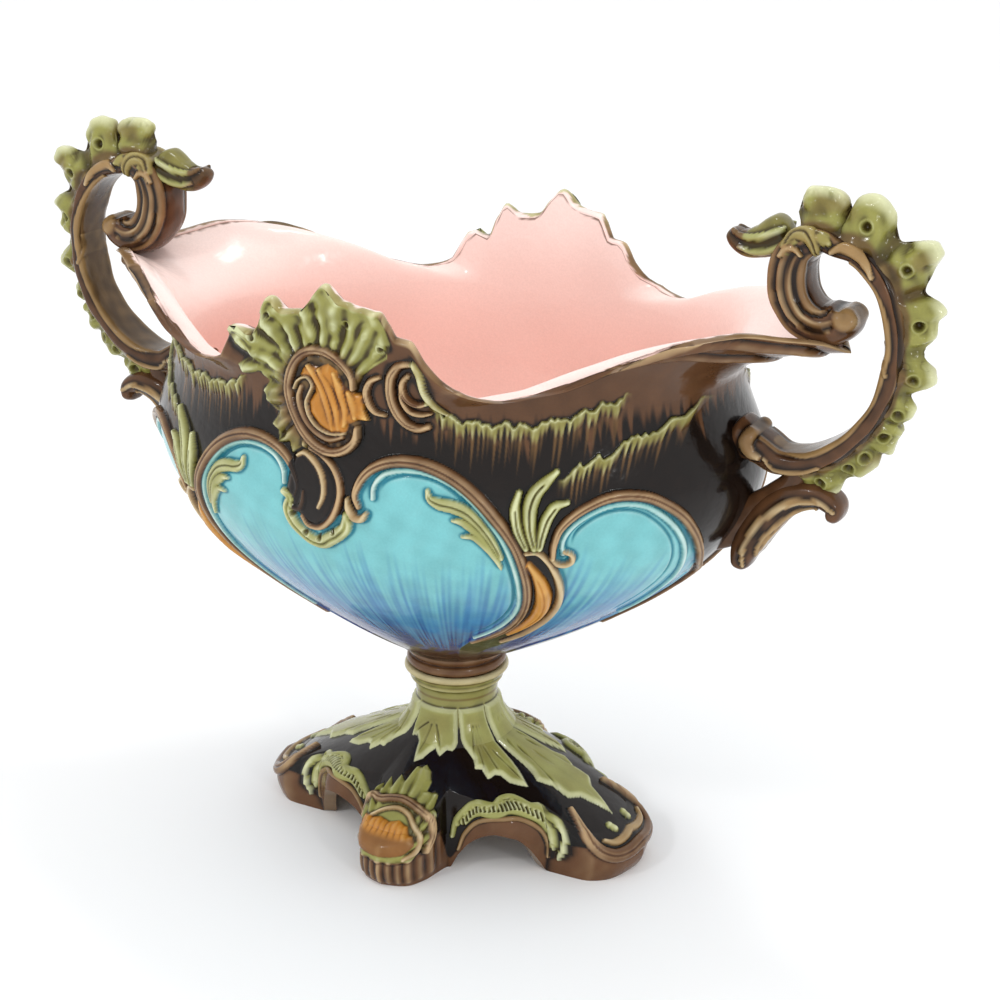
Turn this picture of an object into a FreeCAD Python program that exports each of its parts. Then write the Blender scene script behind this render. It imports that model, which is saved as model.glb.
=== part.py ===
import FreeCAD, Part
import Sketcher
import math
import os

from FreeCAD import Vector

# Jardiniere on stand: a glazed ceramic bowl with two scroll handles, potted apart from
# its four-footed stand and held to it by a hidden tie rod.
# Frame: X runs through the handles, -Y is the front, +Z is up; the origin is on the
# ground under the stand's axis. All lengths are in millimetres.

DOCUMENT = FreeCAD.newDocument("jardiniere")

SIZES = [
    # the bowl
    ("base_radius", 26.0, "radius of the bowl's underside where it starts to spread"),
    ("belly_rise", 125.0, "widest part of the belly, over the start of the spread"),
    ("belly_half_length", 171.0, "belly, from the axis towards a handle"),
    ("belly_half_width", 126.0, "belly, from the axis towards the front"),
    ("neck_rise", 174.0, "drawn-in neck under the rim, over the start of the spread"),
    ("neck_half_length", 157.0, "neck, from the axis towards a handle"),
    ("neck_half_width", 122.0, "neck, from the axis towards the front"),
    ("rim_half_length", 217.0, "rim, from the axis to a pointed tip"),
    ("rim_half_width", 127.0, "rim, from the axis to the front crest"),
    ("rim_rise", 36.0, "height of the rim's high sides over the neck"),
    ("crest_rise", 56.0, "height of the toothed crest's peak over the neck"),
    ("bowl_wall", 6.5, "wall of the bowl"),
    ("rim_lip", 4.5, "thickness of the rim's edge"),
    ("floor_thickness", 13.0, "floor of the bowl over its underside"),
    ("spigot_radius", 24.0, "ring under the bowl that enters the stand"),
    ("spigot_length", 15.0, "length of that ring"),
    ("relief_seat", 0.12, "glaze line between the wall and what is sprigged on it"),
    ("moulding_seat", 0.5, "the same under the rim, where the wall is hollow"),
    ("shell_height", 4.0, "frilled shell of a cartouche over the wall"),
    ("moulding_width", 7.0, "rolled moulding under the rim"),
    ("moulding_height", 4.0, "how far that moulding stands out"),
    # the handles
    ("handle_half_depth", 12.5, "half thickness of a handle's scroll, front to back"),
    ("crest_half_depth", 8.5, "half thickness of a handle's toothed crest at its foot"),
    ("tooth_half_depth", 2.5, "half thickness of that crest at its edge"),
    ("root_drop", 27.0, "from the neck down to where a handle grows from the belly"),
    ("root_embed", 4.0, "how deep a handle's root is worked into the belly's curve"),
    ("seat_inset", 14.0, "from the rim's tip in to the middle of the volute's foot"),
    ("dimple_radius", 2.6, "radius of the dimples in a handle's crest"),
    ("dimple_depth", 4.0, "depth of those dimples"),
    # the stand
    ("collar_radius", 28.3, "lip of the stand's collar"),
    ("collar_height", 99.3, "height of that lip"),
    ("socket_depth", 7.3, "depth of the socket in the collar"),
    ("socket_clearance", 0.3, "gap round the spigot in its socket"),
    ("stem_radius", 22.5, "narrowest part of the stand's stem"),
    ("stem_height", 80.6, "height of that part"),
    ("shoulder_radius", 31.5, "stem where it meets the dome"),
    ("shoulder_height", 60.0, "height of that line"),
    ("foot_half_length", 112.0, "ground line of a scroll foot, from the axis"),
    ("foot_half_width", 84.0, "ground line of a front foot, from the axis"),
    ("arch_height", 26.0, "opening between two feet"),
    ("leaf_height", 2.6, "acanthus leaves over the stand's dome"),
    ("stand_seat", 0.3, "glaze line under the stand's leaves and ruffles"),
    ("stand_wall", 7.0, "wall of the stand"),
    # the tie rod and what it clamps
    ("rod_radius", 4.0, "tie rod"),
    ("rod_clearance", 1.5, "gap round the rod in the bowl and in the stem"),
    ("rod_overrun", 2.0, "rod past each nut"),
    ("thread_line", 0.1, "gap at the threads"),
    ("gasket_thickness", 2.0, "cork and rubber rings"),
    ("gasket_radius", 15.0, "rings under the washers"),
    ("washer_thickness", 2.0, "brass washers"),
    ("washer_radius", 13.0, "brass washers"),
    ("nut_flats", 13.0, "nuts, across flats"),
    ("nut_height", 6.5, "plain nut"),
    ("cap_height", 12.0, "cap nut, with its dome"),
]

SHEET = DOCUMENT.addObject("Spreadsheet::Sheet", "Sizes")
for row, (alias, value, note) in enumerate(SIZES, start=1):
    SHEET.set("A%d" % row, alias)
    SHEET.set("B%d" % row, str(value))
    SHEET.set("C%d" % row, note)
    SHEET.setAlias("B%d" % row, alias)
DOCUMENT.recompute()


def size(alias):
    """A driving dimension, read from the sheet."""
    return float(getattr(SHEET, alias))


# ---------------------------------------------------------------- plain curves

def base_height():
    """Where the bowl spreads from its spigot: the spigot stands on its gasket in the socket."""
    ledge = size("collar_height") - size("socket_depth")
    return ledge + size("gasket_thickness") + size("spigot_length")


def belly_height():
    return base_height() + size("belly_rise")


def neck_height():
    return base_height() + size("neck_rise")


def root_height():
    return neck_height() - size("root_drop")


def clamp(value, low=0.0, high=1.0):
    return max(low, min(high, value))


def blend(start, end, share):
    return start + (end - start) * share


def ease(share):
    """Rises from 0 to 1 with level ends."""
    return 0.5 - 0.5 * math.cos(math.pi * clamp(share))


def steady_curve(points):
    """A cubic through the points that never swings past them."""
    xs = [p[0] for p in points]
    ys = [p[1] for p in points]
    count = len(xs)
    gaps = [xs[i + 1] - xs[i] for i in range(count - 1)]
    rises = [(ys[i + 1] - ys[i]) / gaps[i] for i in range(count - 1)]
    slopes = [rises[0]]
    for i in range(1, count - 1):
        before, after = rises[i - 1], rises[i]
        slopes.append(0.0 if before * after <= 0 else 2.0 * before * after / (before + after))
    slopes.append(rises[-1])

    def value(x):
        x = clamp(x, xs[0], xs[-1])
        i = 0
        while i < count - 2 and x > xs[i + 1]:
            i += 1
        step = gaps[i]
        u = (x - xs[i]) / step
        return (ys[i] * (1 + 2 * u) * (1 - u) ** 2 + slopes[i] * step * u * (1 - u) ** 2
                + ys[i + 1] * u * u * (3 - 2 * u) + slopes[i + 1] * step * u * u * (u - 1))

    return value


def chord_lengths(points):
    """Distance run along a list of points, from 0 to the whole length."""
    run = [0.0]
    for a, b in zip(points, points[1:]):
        run.append(run[-1] + math.dist(a, b))
    return run


def even_samples(points, count):
    """Points spread evenly along a smooth line through the given ones."""
    run = chord_lengths(points)
    columns = [steady_curve(list(zip(run, column))) for column in zip(*points)]
    spots = [run[-1] * i / (count - 1) for i in range(count)]
    return [tuple(column(spot) for column in columns) for spot in spots]


# ---------------------------------------------------------------- the bowl's wall

# fullness of the belly between the spigot and its widest part
BELLY_FULLNESS = 1.85
# how pointed the rim's plan is: 1 is an ellipse
RIM_POINTEDNESS = 1.7
# the rim seen from the front: share of the half length, height over the neck in rim rises;
# the middle is a plain hump that the crest's teeth are cut from
RIM_WAVE = [(0.0, 1.72), (0.09, 1.72), (0.166, 1.64), (0.203, 1.47), (0.24, 1.17),
            (0.268, 0.83), (0.286, 0.56), (0.304, 0.33), (0.346, 0.24), (0.387, 0.21),
            (0.43, 0.24), (0.456, 0.28), (0.53, 0.39), (0.58, 0.53), (0.627, 0.67),
            (0.673, 0.78), (0.737, 0.92), (0.793, 0.986), (0.83, 1.0), (0.903, 0.89),
            (0.96, 0.78), (1.0, 0.61)]
WAVE = steady_curve(RIM_WAVE)
# the crest's teeth seen from the front: x, height over the neck in crest rises
CREST_TEETH = [(-66.0, 0.20), (-60.0, 0.37), (-54.6, 0.52), (-49.0, 0.47), (-43.0, 0.46),
               (-38.0, 0.64), (-32.6, 0.80), (-24.0, 0.71), (-13.0, 0.73), (-5.0, 0.89),
               (1.65, 1.0), (10.0, 0.87), (18.0, 0.82), (28.2, 0.79), (33.0, 0.66),
               (36.0, 0.57), (43.0, 0.55), (50.0, 0.37), (58.0, 0.25), (66.0, 0.20)]
# the flare's control point: share of the rise, and spread over the neck
FLARE_RISE = 0.72
FLARE_SPREAD = 1.02


def belly_at(height, inset):
    """Half length and half width of the wall between the spigot and the neck."""
    base, belly, neck = base_height(), belly_height(), neck_height()
    swell = 1.0 - (1.0 - clamp((height - base) / (belly - base))) ** BELLY_FULLNESS
    draw = ease((height - belly) / (neck - belly))
    radius = size("base_radius")
    length = blend(radius, size("belly_half_length"), swell)
    length += (size("neck_half_length") - size("belly_half_length")) * draw
    width = blend(radius, size("belly_half_width"), swell)
    width += (size("neck_half_width") - size("belly_half_width")) * draw
    return length - inset, width - inset


def wall_point(angle, level, inset=0.0, bottom=None):
    """The wall at a plan angle and a level: 0 spigot, 1 neck, 2 rim; inset makes the inside."""
    low = base_height() if bottom is None else bottom
    neck = neck_height()
    c, s = math.cos(angle), math.sin(angle)
    if level <= 1.0:
        height = blend(low, neck, level)
        length, width = belly_at(height, inset)
        return Vector(length * c, width * s, height)
    length, width = belly_at(neck, inset)
    rim_inset = inset * size("rim_lip") / size("bowl_wall")
    plan = abs(s) ** RIM_POINTEDNESS * math.copysign(1.0, s)
    rim = Vector((size("rim_half_length") - 2.0 * rim_inset) * c,
                 (size("rim_half_width") - rim_inset) * plan, 0.0)
    rise = WAVE(abs(c)) * size("rim_rise")
    rim.z = neck + rise
    start = Vector(length * c, width * s, neck)
    turn = Vector(start.x * FLARE_SPREAD, start.y, neck + FLARE_RISE * rise + inset * abs(c))
    u = level - 1.0
    return start * (1 - u) ** 2 + turn * (2 * u * (1 - u)) + rim * (u * u)


def level_of(angle, height):
    """The level at which the wall has a given height."""
    base, neck = base_height(), neck_height()
    if height <= neck:
        return (height - base) / (neck - base)
    low, high = 1.0, 2.0
    for _ in range(30):
        middle = 0.5 * (low + high)
        if wall_point(angle, middle).z < height:
            low = middle
        else:
            high = middle
    return 0.5 * (low + high)


def on_wall(turn, share):
    """Wall point and outward normal; turn is in degrees from the front, towards +X.
    A share up to 1 is a level, one above it counts crest rises over the neck."""
    angle = math.radians(turn - 90.0)
    level = share
    if share > 1.0:
        level = level_of(angle, neck_height() + (share - 1.0) * size("crest_rise"))
    small = 0.002
    high = min(level + small, 2.0)
    point = wall_point(angle, level)
    along = wall_point(angle + small, level) - wall_point(angle - small, level)
    up = wall_point(angle, high) - wall_point(angle, high - 2 * small)
    normal = along.cross(up)
    normal.normalize()
    return point, normal


# ---------------------------------------------------------------- solids from sections

def closed_curve(points):
    """A smooth closed wire through points spread evenly in its own parameter."""
    curve = Part.BSplineCurve()
    steps = [float(i) for i in range(len(points) + 1)]
    curve.interpolate(Points=points, PeriodicFlag=True, Parameters=steps)
    return Part.Wire([curve.toShape()])


def solid_from_faces(faces):
    """Sews faces that share their edges into one solid that points outward."""
    shell = Part.Compound(faces)
    shell.sewShape(0.01)
    solid = Part.Solid(Part.Shell(shell.Faces))
    if solid.Volume < 0:
        solid.reverse()
    return solid


def section_loft(wires, ruled=False):
    return Part.makeLoft(wires, True, ruled, False)


def mirrored(shape, across_x=False, across_y=False):
    """A copy on the other side of the axis, in one or both plan directions."""
    copy = shape.copy()
    if across_x:
        copy = copy.mirror(Vector(0, 0, 0), Vector(1, 0, 0))
    if across_y:
        copy = copy.mirror(Vector(0, 0, 0), Vector(0, 1, 0))
    return copy


def dome_section(centre, side, normal, width, height, lift):
    """A flat-backed rounded section that lies on a surface."""
    foot = centre + normal * lift
    points = []
    for i in range(7):
        turn = math.pi * i / 6
        points.append(foot + side * (0.5 * width * math.cos(turn))
                      + normal * (height * math.sin(turn)))
    top = Part.BSplineCurve()
    top.interpolate(Points=points, Parameters=[float(i) for i in range(7)])
    base = Part.LineSegment(points[-1], points[0])
    return Part.Wire([top.toShape(), base.toShape()])


def strip_on(seats, widths, lift, ruled=False):
    """A half-round strip along seats (point, normal) with a width and height at each."""
    last = len(seats) - 1
    sections = []
    for i, (point, normal) in enumerate(seats):
        side = (seats[min(i + 1, last)][0] - seats[max(i - 1, 0)][0]).cross(normal)
        side.normalize()
        sections.append(dome_section(point, side, normal, widths[i][0], widths[i][1], lift))
    return section_loft(sections, ruled)


def sprigged_scroll(route, samples, raised=0.0):
    """A tapered half-round strip on the wall, or raised to lie on a plaque.
    A route point is turn, share, width, height."""
    spots = even_samples([(p[0], p[1] * LEVEL_SCALE, p[2], p[3]) for p in route], samples)
    seats = [on_wall(turn, level / LEVEL_SCALE) for turn, level, _, _ in spots]
    return strip_on(seats, [(spot[2], spot[3]) for spot in spots],
                    size("relief_seat") + raised)


# a share of the wall's height weighs this much against a degree when a route is spaced out
LEVEL_SCALE = 70.0


def round_outline(centre, radius):
    return [(centre[0] + radius[0] * math.cos(2 * math.pi * i / BOSS_POINTS),
             centre[1] + radius[1] * math.sin(2 * math.pi * i / BOSS_POINTS))
            for i in range(BOSS_POINTS)]


BOSS_POINTS = 20


def slab_on(surface, centre, outline, rings, lift):
    """A raised plaque on a surface: its outline shrinks towards the centre ring by ring.
    A ring is share of the outline, height over the surface."""
    count = len(outline)
    wires = []
    for share, height in rings:
        wire = []
        for turn, level in outline:
            point, normal = surface(blend(centre[0], turn, share), blend(centre[1], level, share))
            wire.append(point + normal * (lift + height))
        wires.append(wire)
    faces = []
    for lower, upper in zip(wires, wires[1:]):
        for i in range(count):
            j = (i + 1) % count
            faces += two_triangles(lower[i], lower[j], upper[j], upper[i])
    for ring in (wires[0], wires[-1]):
        middle = Vector(0, 0, 0)
        for point in ring:
            middle += point
        middle *= 1.0 / count
        faces += [triangle(middle, ring[i], ring[(i + 1) % count]) for i in range(count)]
    return solid_from_faces(faces)


def sprigged_slab(centre, outline, rings):
    return slab_on(on_wall, centre, outline, rings, size("relief_seat"))


def triangle(a, b, c):
    return Part.Face(Part.makePolygon([a, b, c, a]))


def two_triangles(a, b, c, d):
    return [triangle(a, b, c), triangle(a, c, d)]


def fused(shapes):
    whole = shapes[0].multiFuse(shapes[1:])
    return whole.removeSplitter()


def only_solid(shape):
    """The largest solid that a cut leaves, without its crumbs."""
    return max(shape.Solids, key=lambda s: s.Volume)


# ---------------------------------------------------------------- the bowl

PLAN_POINTS = 72
BODY_LEVELS = [i / 14.0 for i in range(15)]
FLARE_LEVELS = [1.0 + i / 8.0 for i in range(1, 9)]


def wall_ring(level, inset=0.0, bottom=None):
    return closed_curve([wall_point(2 * math.pi * i / PLAN_POINTS, level, inset, bottom)
                         for i in range(PLAN_POINTS)])


def make_bowl():
    levels = BODY_LEVELS + FLARE_LEVELS
    inner_floor = base_height() + size("floor_thickness")
    outer = [wall_ring(level) for level in levels]
    inner = [wall_ring(level, size("bowl_wall"), inner_floor) for level in levels]
    faces = Part.makeLoft(outer, False, False, False).Faces
    faces += Part.makeLoft(inner, False, False, False).Faces
    faces += Part.makeLoft([outer[-1], inner[-1]], False, True, False).Faces
    faces.append(Part.Face(outer[0]))
    faces.append(Part.Face(inner[0]))
    shell = solid_from_faces(faces)

    spigot = Part.makeCylinder(size("spigot_radius"), size("spigot_length"),
                               Vector(0, 0, base_height() - size("spigot_length")))
    bowl = shell.fuse(spigot)
    bore = Part.makeCylinder(size("rod_radius") + size("rod_clearance"), inner_floor,
                             Vector(0, 0, 0))
    bowl = bowl.cut(bore)
    return only_solid(bowl.cut(crest_cutter()))


def crest_cutter():
    """A block above the crest's toothed edge, as deep as the whole bowl."""
    neck, rise = neck_height(), size("crest_rise")
    reach = 2.0 * size("rim_half_width")
    top = neck + 2.0 * rise
    edge = [Vector(x, -reach / 2, neck + share * rise) for x, share in CREST_TEETH]
    outline = edge + [Vector(edge[-1].x, -reach / 2, top), Vector(edge[0].x, -reach / 2, top)]
    face = Part.Face(Part.makePolygon(outline + [outline[0]]))
    return face.extrude(Vector(0, reach, 0))


def on_flare(angle, level):
    """Wall point and outward normal under the rim."""
    small = 0.002
    along = wall_point(angle + small, level) - wall_point(angle - small, level)
    up = wall_point(angle, level + small) - wall_point(angle, level - small)
    normal = along.cross(up)
    normal.normalize()
    return wall_point(angle, level), normal


# the rim's moulding: sections along it, its level on the wall, the share of its size at either
# tip, and how fast it grows from there
MOULDING_SAMPLES = 30
MOULDING_LEVEL = 1.88
MOULDING_TIP = 0.35
MOULDING_TAPER = 5.0


def rim_moulding(first_turn, last_turn):
    """The rolled moulding just under the rim, between two turns from the front."""
    seats = []
    widths = []
    for i in range(MOULDING_SAMPLES):
        share = i / (MOULDING_SAMPLES - 1.0)
        angle = math.radians(blend(first_turn, last_turn, share) - 90.0)
        seats.append(on_flare(angle, MOULDING_LEVEL))
        taper = MOULDING_TIP + (1.0 - MOULDING_TIP) * ease(MOULDING_TAPER * min(share, 1 - share))
        widths.append((size("moulding_width") * taper, size("moulding_height") * taper))
    return strip_on(seats, widths, size("moulding_seat"), True)


# ---------------------------------------------------------------- relief on the bowl

# large panel, one lobe: a C-scroll that rises from the pendant, arches and runs to the base
LOBE_FRAME = [(8.0, 0.73, 3.0, 1.5), (6.5, 0.76, 5.0, 3.0), (8.0, 0.82, 6.5, 4.0),
              (12.0, 0.857, 7.0, 4.5), (18.0, 0.872, 7.0, 4.5), (24.0, 0.842, 6.5, 4.0),
              (29.0, 0.77, 6.0, 4.0), (33.0, 0.66, 5.0, 3.5), (35.0, 0.54, 4.5, 3.0),
              (35.5, 0.42, 4.0, 2.5), (34.5, 0.30, 3.0, 2.0), (33.0, 0.21, 2.0, 1.2)]
# end panel: from the palmette up, over and down towards the handle's side
END_FRAME = [(40.0, 0.62, 3.0, 1.5), (41.5, 0.69, 4.5, 3.0), (45.0, 0.765, 5.5, 3.5),
             (50.0, 0.79, 6.0, 4.0), (56.0, 0.775, 6.0, 4.0), (62.0, 0.72, 5.5, 3.5),
             (68.0, 0.63, 5.0, 3.0), (72.0, 0.52, 4.5, 2.5), (73.0, 0.42, 4.0, 2.0),
             (70.0, 0.33, 3.0, 1.5)]
PALMETTE_FINGERS = [
    [(36.5, 0.63, 5.0, 3.5), (38.0, 0.70, 7.0, 5.0), (38.6, 0.78, 6.0, 5.0),
     (38.2, 0.845, 3.5, 2.0)],
    [(36.2, 0.63, 5.0, 3.5), (35.0, 0.68, 5.5, 4.0), (33.6, 0.74, 5.0, 3.5),
     (32.6, 0.795, 3.0, 1.5)],
    [(36.8, 0.63, 5.0, 3.5), (39.5, 0.68, 5.5, 4.0), (41.8, 0.73, 5.0, 3.5),
     (43.0, 0.775, 3.5, 2.0)],
]
AMBER_DROP = [(36.5, 0.60, 4.0, 2.5), (37.4, 0.55, 8.5, 4.5), (38.5, 0.48, 9.5, 5.0),
              (39.5, 0.40, 8.0, 4.5), (39.5, 0.31, 5.5, 3.0), (38.0, 0.24, 3.0, 1.5)]
# cartouche on the crest: turn in degrees, share (above 1 in crest rises over the neck)
SHELL_CENTRE = (-1.5, 1.12)
SHELL_OUTLINE = [(-17.8, 1.30), (-15.6, 1.48), (-12.9, 1.43), (-11.0, 1.60), (-9.2, 1.77),
                 (-6.6, 1.68), (-3.6, 1.70), (-1.3, 1.86), (0.4, 1.96), (2.6, 1.84),
                 (5.0, 1.79), (7.6, 1.75), (9.6, 1.54), (9.2, 1.36), (7.4, 1.20),
                 (8.2, 1.04), (7.4, 0.93), (5.0, 0.87), (1.0, 0.845), (-3.0, 0.845),
                 (-6.4, 0.835), (-9.0, 0.85), (-11.0, 0.885), (-10.6, 0.93), (-12.4, 0.965),
                 (-13.6, 0.99), (-13.4, 1.12), (-15.8, 1.18)]
SHELL_RINGS = [(0.1, 0.0), (0.25, 0.0), (0.4, 0.0), (0.55, 0.0), (0.7, 0.0), (0.85, 0.0),
               (1.0, 0.0), (0.97, 0.65), (0.72, 1.0), (0.35, 1.0), (0.1, 1.0)]
# what lies on the shell stands this much off it
SHELL_CLEARANCE = 0.25
CARTOUCHE_SCROLL = [(6.2, 1.16, 3.0, 1.5), (5.4, 1.30, 5.0, 3.0), (2.6, 1.42, 6.0, 3.5),
                    (-1.6, 1.47, 6.5, 4.0), (-5.0, 1.38, 7.0, 4.0), (-6.9, 1.20, 7.5, 4.5),
                    (-7.0, 1.0, 7.5, 4.5), (-6.0, 0.93, 7.5, 4.5), (-3.6, 0.885, 7.0, 4.5),
                    (-0.4, 0.858, 7.0, 4.5), (3.2, 0.862, 6.5, 4.0), (5.9, 0.885, 5.5, 3.5),
                    (7.0, 0.93, 3.5, 2.0)]
BOSS_CENTRE = (1.3, 1.04)
BOSS_RADIUS = (4.1, 0.12)
# share of the outline, height over the shell
BOSS_RINGS = [(0.2, 0.0), (0.5, 0.0), (1.0, 0.0), (0.9, 2.4), (0.6, 3.7), (0.25, 4.2)]
SIDE_SCROLL = [(15.0, 1.42, 3.0, 1.5), (12.4, 1.36, 5.5, 3.5), (11.6, 1.18, 6.5, 4.5),
               (13.0, 1.0, 6.5, 4.5), (16.0, 0.955, 6.0, 4.0), (18.4, 0.95, 5.0, 3.0),
               (19.6, 0.965, 3.0, 1.5)]
PENDANT = [(-3.2, 0.815, 5.0, 2.5), (-1.0, 0.80, 12.0, 4.0), (0.4, 0.76, 17.0, 5.0),
           (-0.6, 0.71, 22.0, 5.5), (-1.6, 0.66, 25.0, 5.5), (-2.4, 0.61, 20.0, 4.5),
           (-2.8, 0.565, 8.0, 2.0)]


def make_palmette():
    """Three fingers that spring from one root."""
    return fused([sprigged_scroll(route, 8) for route in PALMETTE_FINGERS])


def make_boss():
    """The ribbed amber heart of the cartouche, on its shell."""
    seat = size("shell_height") + SHELL_CLEARANCE
    rings = [(share, seat + rise) for share, rise in BOSS_RINGS]
    return sprigged_slab(BOSS_CENTRE, round_outline(BOSS_CENTRE, BOSS_RADIUS), rings)


# ---------------------------------------------------------------- the handles

# the scroll's middle line from the foot of the volute: x, z, width; its first point is
# the root on the belly, its last lies in the volute's knob
SCROLL_LINE = [(-36.0, -51.0, 24.0), (-23.0, -54.5, 16.0), (-13.0, -59.5, 14.0),
               (-2.0, -59.0, 13.0), (9.0, -54.5, 12.0), (19.0, -47.0, 11.0),
               (28.0, -37.0, 10.5), (34.5, -26.0, 10.0), (38.0, -15.0, 10.0),
               (39.5, -3.0, 10.0), (39.3, 9.0, 10.0), (37.0, 21.0, 10.0),
               (32.5, 32.0, 10.0), (25.5, 41.0, 10.0), (16.0, 47.5, 10.0),
               (5.0, 50.2, 10.5), (0.0, 52.0, 12.0), (-7.0, 51.0, 16.0),
               (-13.0, 47.0, 18.5), (-16.5, 39.5, 20.5), (-17.0, 30.5, 21.5),
               (-14.5, 21.5, 22.0), (-8.5, 14.0, 22.0), (0.0, 11.0, 21.0),
               (8.0, 13.0, 20.0), (13.0, 17.5, 17.0), (14.5, 21.5, 10.0)]
# how many of those points the root's place pulls along
PULLED_POINTS = 15
# the crest's edge along the scroll: share of the way, height over the scroll
CREST_EDGE = [(0.105, 0.8), (0.124, 3.8), (0.151, 9.9), (0.175, 13.6), (0.199, 8.7),
              (0.226, 11.9), (0.249, 12.0), (0.268, 9.0), (0.280, 12.3), (0.300, 9.9),
              (0.319, 9.6), (0.324, 6.8), (0.345, 9.9), (0.354, 9.9), (0.375, 5.0),
              (0.395, 12.5), (0.404, 15.1), (0.420, 13.0), (0.447, 6.3), (0.474, 12.9),
              (0.492, 13.8), (0.505, 18.2), (0.520, 15.4), (0.537, 10.5), (0.559, 18.6),
              (0.570, 25.3), (0.580, 25.8), (0.607, 12.0), (0.620, 15.0), (0.631, 20.6),
              (0.648, 23.6), (0.662, 21.0), (0.682, 14.5), (0.688, 12.3), (0.705, 18.2),
              (0.720, 17.8), (0.735, 8.0)]
# dimples in the crest: share of the way, distance out from the scroll
DIMPLES = [(0.165, 5.0), (0.215, 4.5), (0.25, 5.0), (0.298, 4.0), (0.341, 4.0), (0.404, 5.5),
           (0.491, 6.0), (0.572, 8.5), (0.645, 9.0)]
# leaf that hangs off the top of the volute towards the bowl, and the bracket under the root
BEAK_LINE = [(-12.0, 55.0, 18.0), (-24.0, 52.0, 19.0), (-33.0, 47.5, 16.0),
             (-41.0, 46.0, 13.0), (-46.0, 48.5, 10.0), (-48.5, 52.5, 6.0)]
BRACKET_LINE = [(16.0, -88.0, 7.0), (17.0, -80.0, 10.0), (10.0, -75.5, 12.0),
                (-2.0, -77.0, 15.0), (-13.0, -85.0, 17.0), (-22.0, -97.0, 17.0),
                (-29.0, -111.0, 14.0), (-31.0, -121.0, 8.0)]
BRACKET_STEM = [(-3.0, -60.0, 12.0), (-5.0, -70.0, 13.0), (-13.0, -80.0, 16.0),
                (-26.0, -91.0, 20.0), (-40.0, -99.0, 24.0), (-52.0, -104.0, 24.0)]
# half thicknesses of those pieces, as shares of the scroll's
BEAK_DEPTH = (0.8, 0.45)
BRACKET_DEPTH = 0.72
STEM_DEPTH = 0.5


def seat_point():
    """Middle of the volute's foot, where it stands on the tip of the rim."""
    tip = neck_height() + WAVE(1.0) * size("rim_rise")
    return size("rim_half_length") - size("seat_inset"), tip + FOOT_RISE


# the volute's foot stands this far over the rim's outer tip
FOOT_RISE = 2.0


def root_shift():
    """How far the belly's real place moves the root from where the scroll's line puts it."""
    seat_x, seat_z = seat_point()
    length, _ = belly_at(root_height(), 0.0)
    x, z, _ = SCROLL_LINE[0]
    return length - size("root_embed") - (seat_x + x), root_height() - (seat_z + z)


def placed_line(line, pulled=None):
    """A handle's middle line in the part's frame. The root pulls the points near it."""
    seat_x, seat_z = seat_point()
    shift_x, shift_z = root_shift()
    placed = []
    for i, (x, z, width) in enumerate(line):
        pull = 1.0 if pulled is None else 1.0 - clamp(i / float(pulled))
        placed.append((seat_x + x + shift_x * pull, seat_z + z + shift_z * pull, width))
    return placed


def limb_section(x, z, across, width, half_depth, corner=0.72):
    """A rounded oblong section, square to a line in the handle's plane."""
    points = []
    for i in range(12):
        turn = 2 * math.pi * i / 12
        c, s = math.cos(turn), math.sin(turn)
        wide = 0.5 * width * math.copysign(abs(c) ** corner, c)
        deep = half_depth * math.copysign(abs(s) ** corner, s)
        points.append(Vector(x + across[0] * wide, deep, z + across[1] * wide))
    return closed_curve(points)


def across_of(line, i):
    """Unit vector square to the line at its i-th point, to the left of its way."""
    x1, z1 = line[max(i - 1, 0)][:2]
    x2, z2 = line[min(i + 1, len(line) - 1)][:2]
    run = math.hypot(x2 - x1, z2 - z1)
    return -(z2 - z1) / run, (x2 - x1) / run


def limb(line, half_depth, tip_depth=None):
    """A bar along a line in the handle's plane, thinner towards its end if asked."""
    sections = []
    last = len(line) - 1
    for i, (x, z, width) in enumerate(line):
        depth = half_depth
        if tip_depth is not None:
            depth = blend(half_depth, tip_depth, i / float(last))
        sections.append(limb_section(x, z, across_of(line, i), width, depth))
    return section_loft(sections)


def edge_height(share):
    """Height of the crest's edge, straight from tooth to valley."""
    for (s1, h1), (s2, h2) in zip(CREST_EDGE, CREST_EDGE[1:]):
        if share <= s2:
            return blend(h1, h2, clamp((share - s1) / (s2 - s1)))
    return CREST_EDGE[-1][1]


# the crest starts this share of the scroll's width off its middle line
CREST_FOOT = 0.30
SCROLL_SAMPLES = 801


def make_handle_crest():
    """A plate along the outside of the scroll, thick at its foot and thin at its teeth."""
    line = even_samples(placed_line(SCROLL_LINE, PULLED_POINTS), SCROLL_SAMPLES)
    shares = [CREST_EDGE[0][0]]
    for (s1, _), (s2, _) in zip(CREST_EDGE, CREST_EDGE[1:]):
        shares += [blend(s1, s2, 0.5), s2]
    deep, thin = size("crest_half_depth"), size("tooth_half_depth")
    rings = []
    for share in shares:
        i = int(round(share * (SCROLL_SAMPLES - 1)))
        x, z, width = line[i]
        across = across_of(line, i)
        foot = -CREST_FOOT * width
        edge = -0.5 * width - edge_height(share)
        rings.append([Vector(x + across[0] * out, y, z + across[1] * out)
                      for out, y in ((foot, -deep), (edge, -thin), (edge, thin), (foot, deep))])
    faces = []
    for ring in (rings[0], rings[-1]):
        faces += two_triangles(*ring)
    for near, far in zip(rings, rings[1:]):
        for i in range(4):
            j = (i + 1) % 4
            faces += two_triangles(near[i], near[j], far[j], far[i])
    crest = solid_from_faces(faces)
    return crest.cut(Part.Compound(dimple_cutters(line)))


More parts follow.
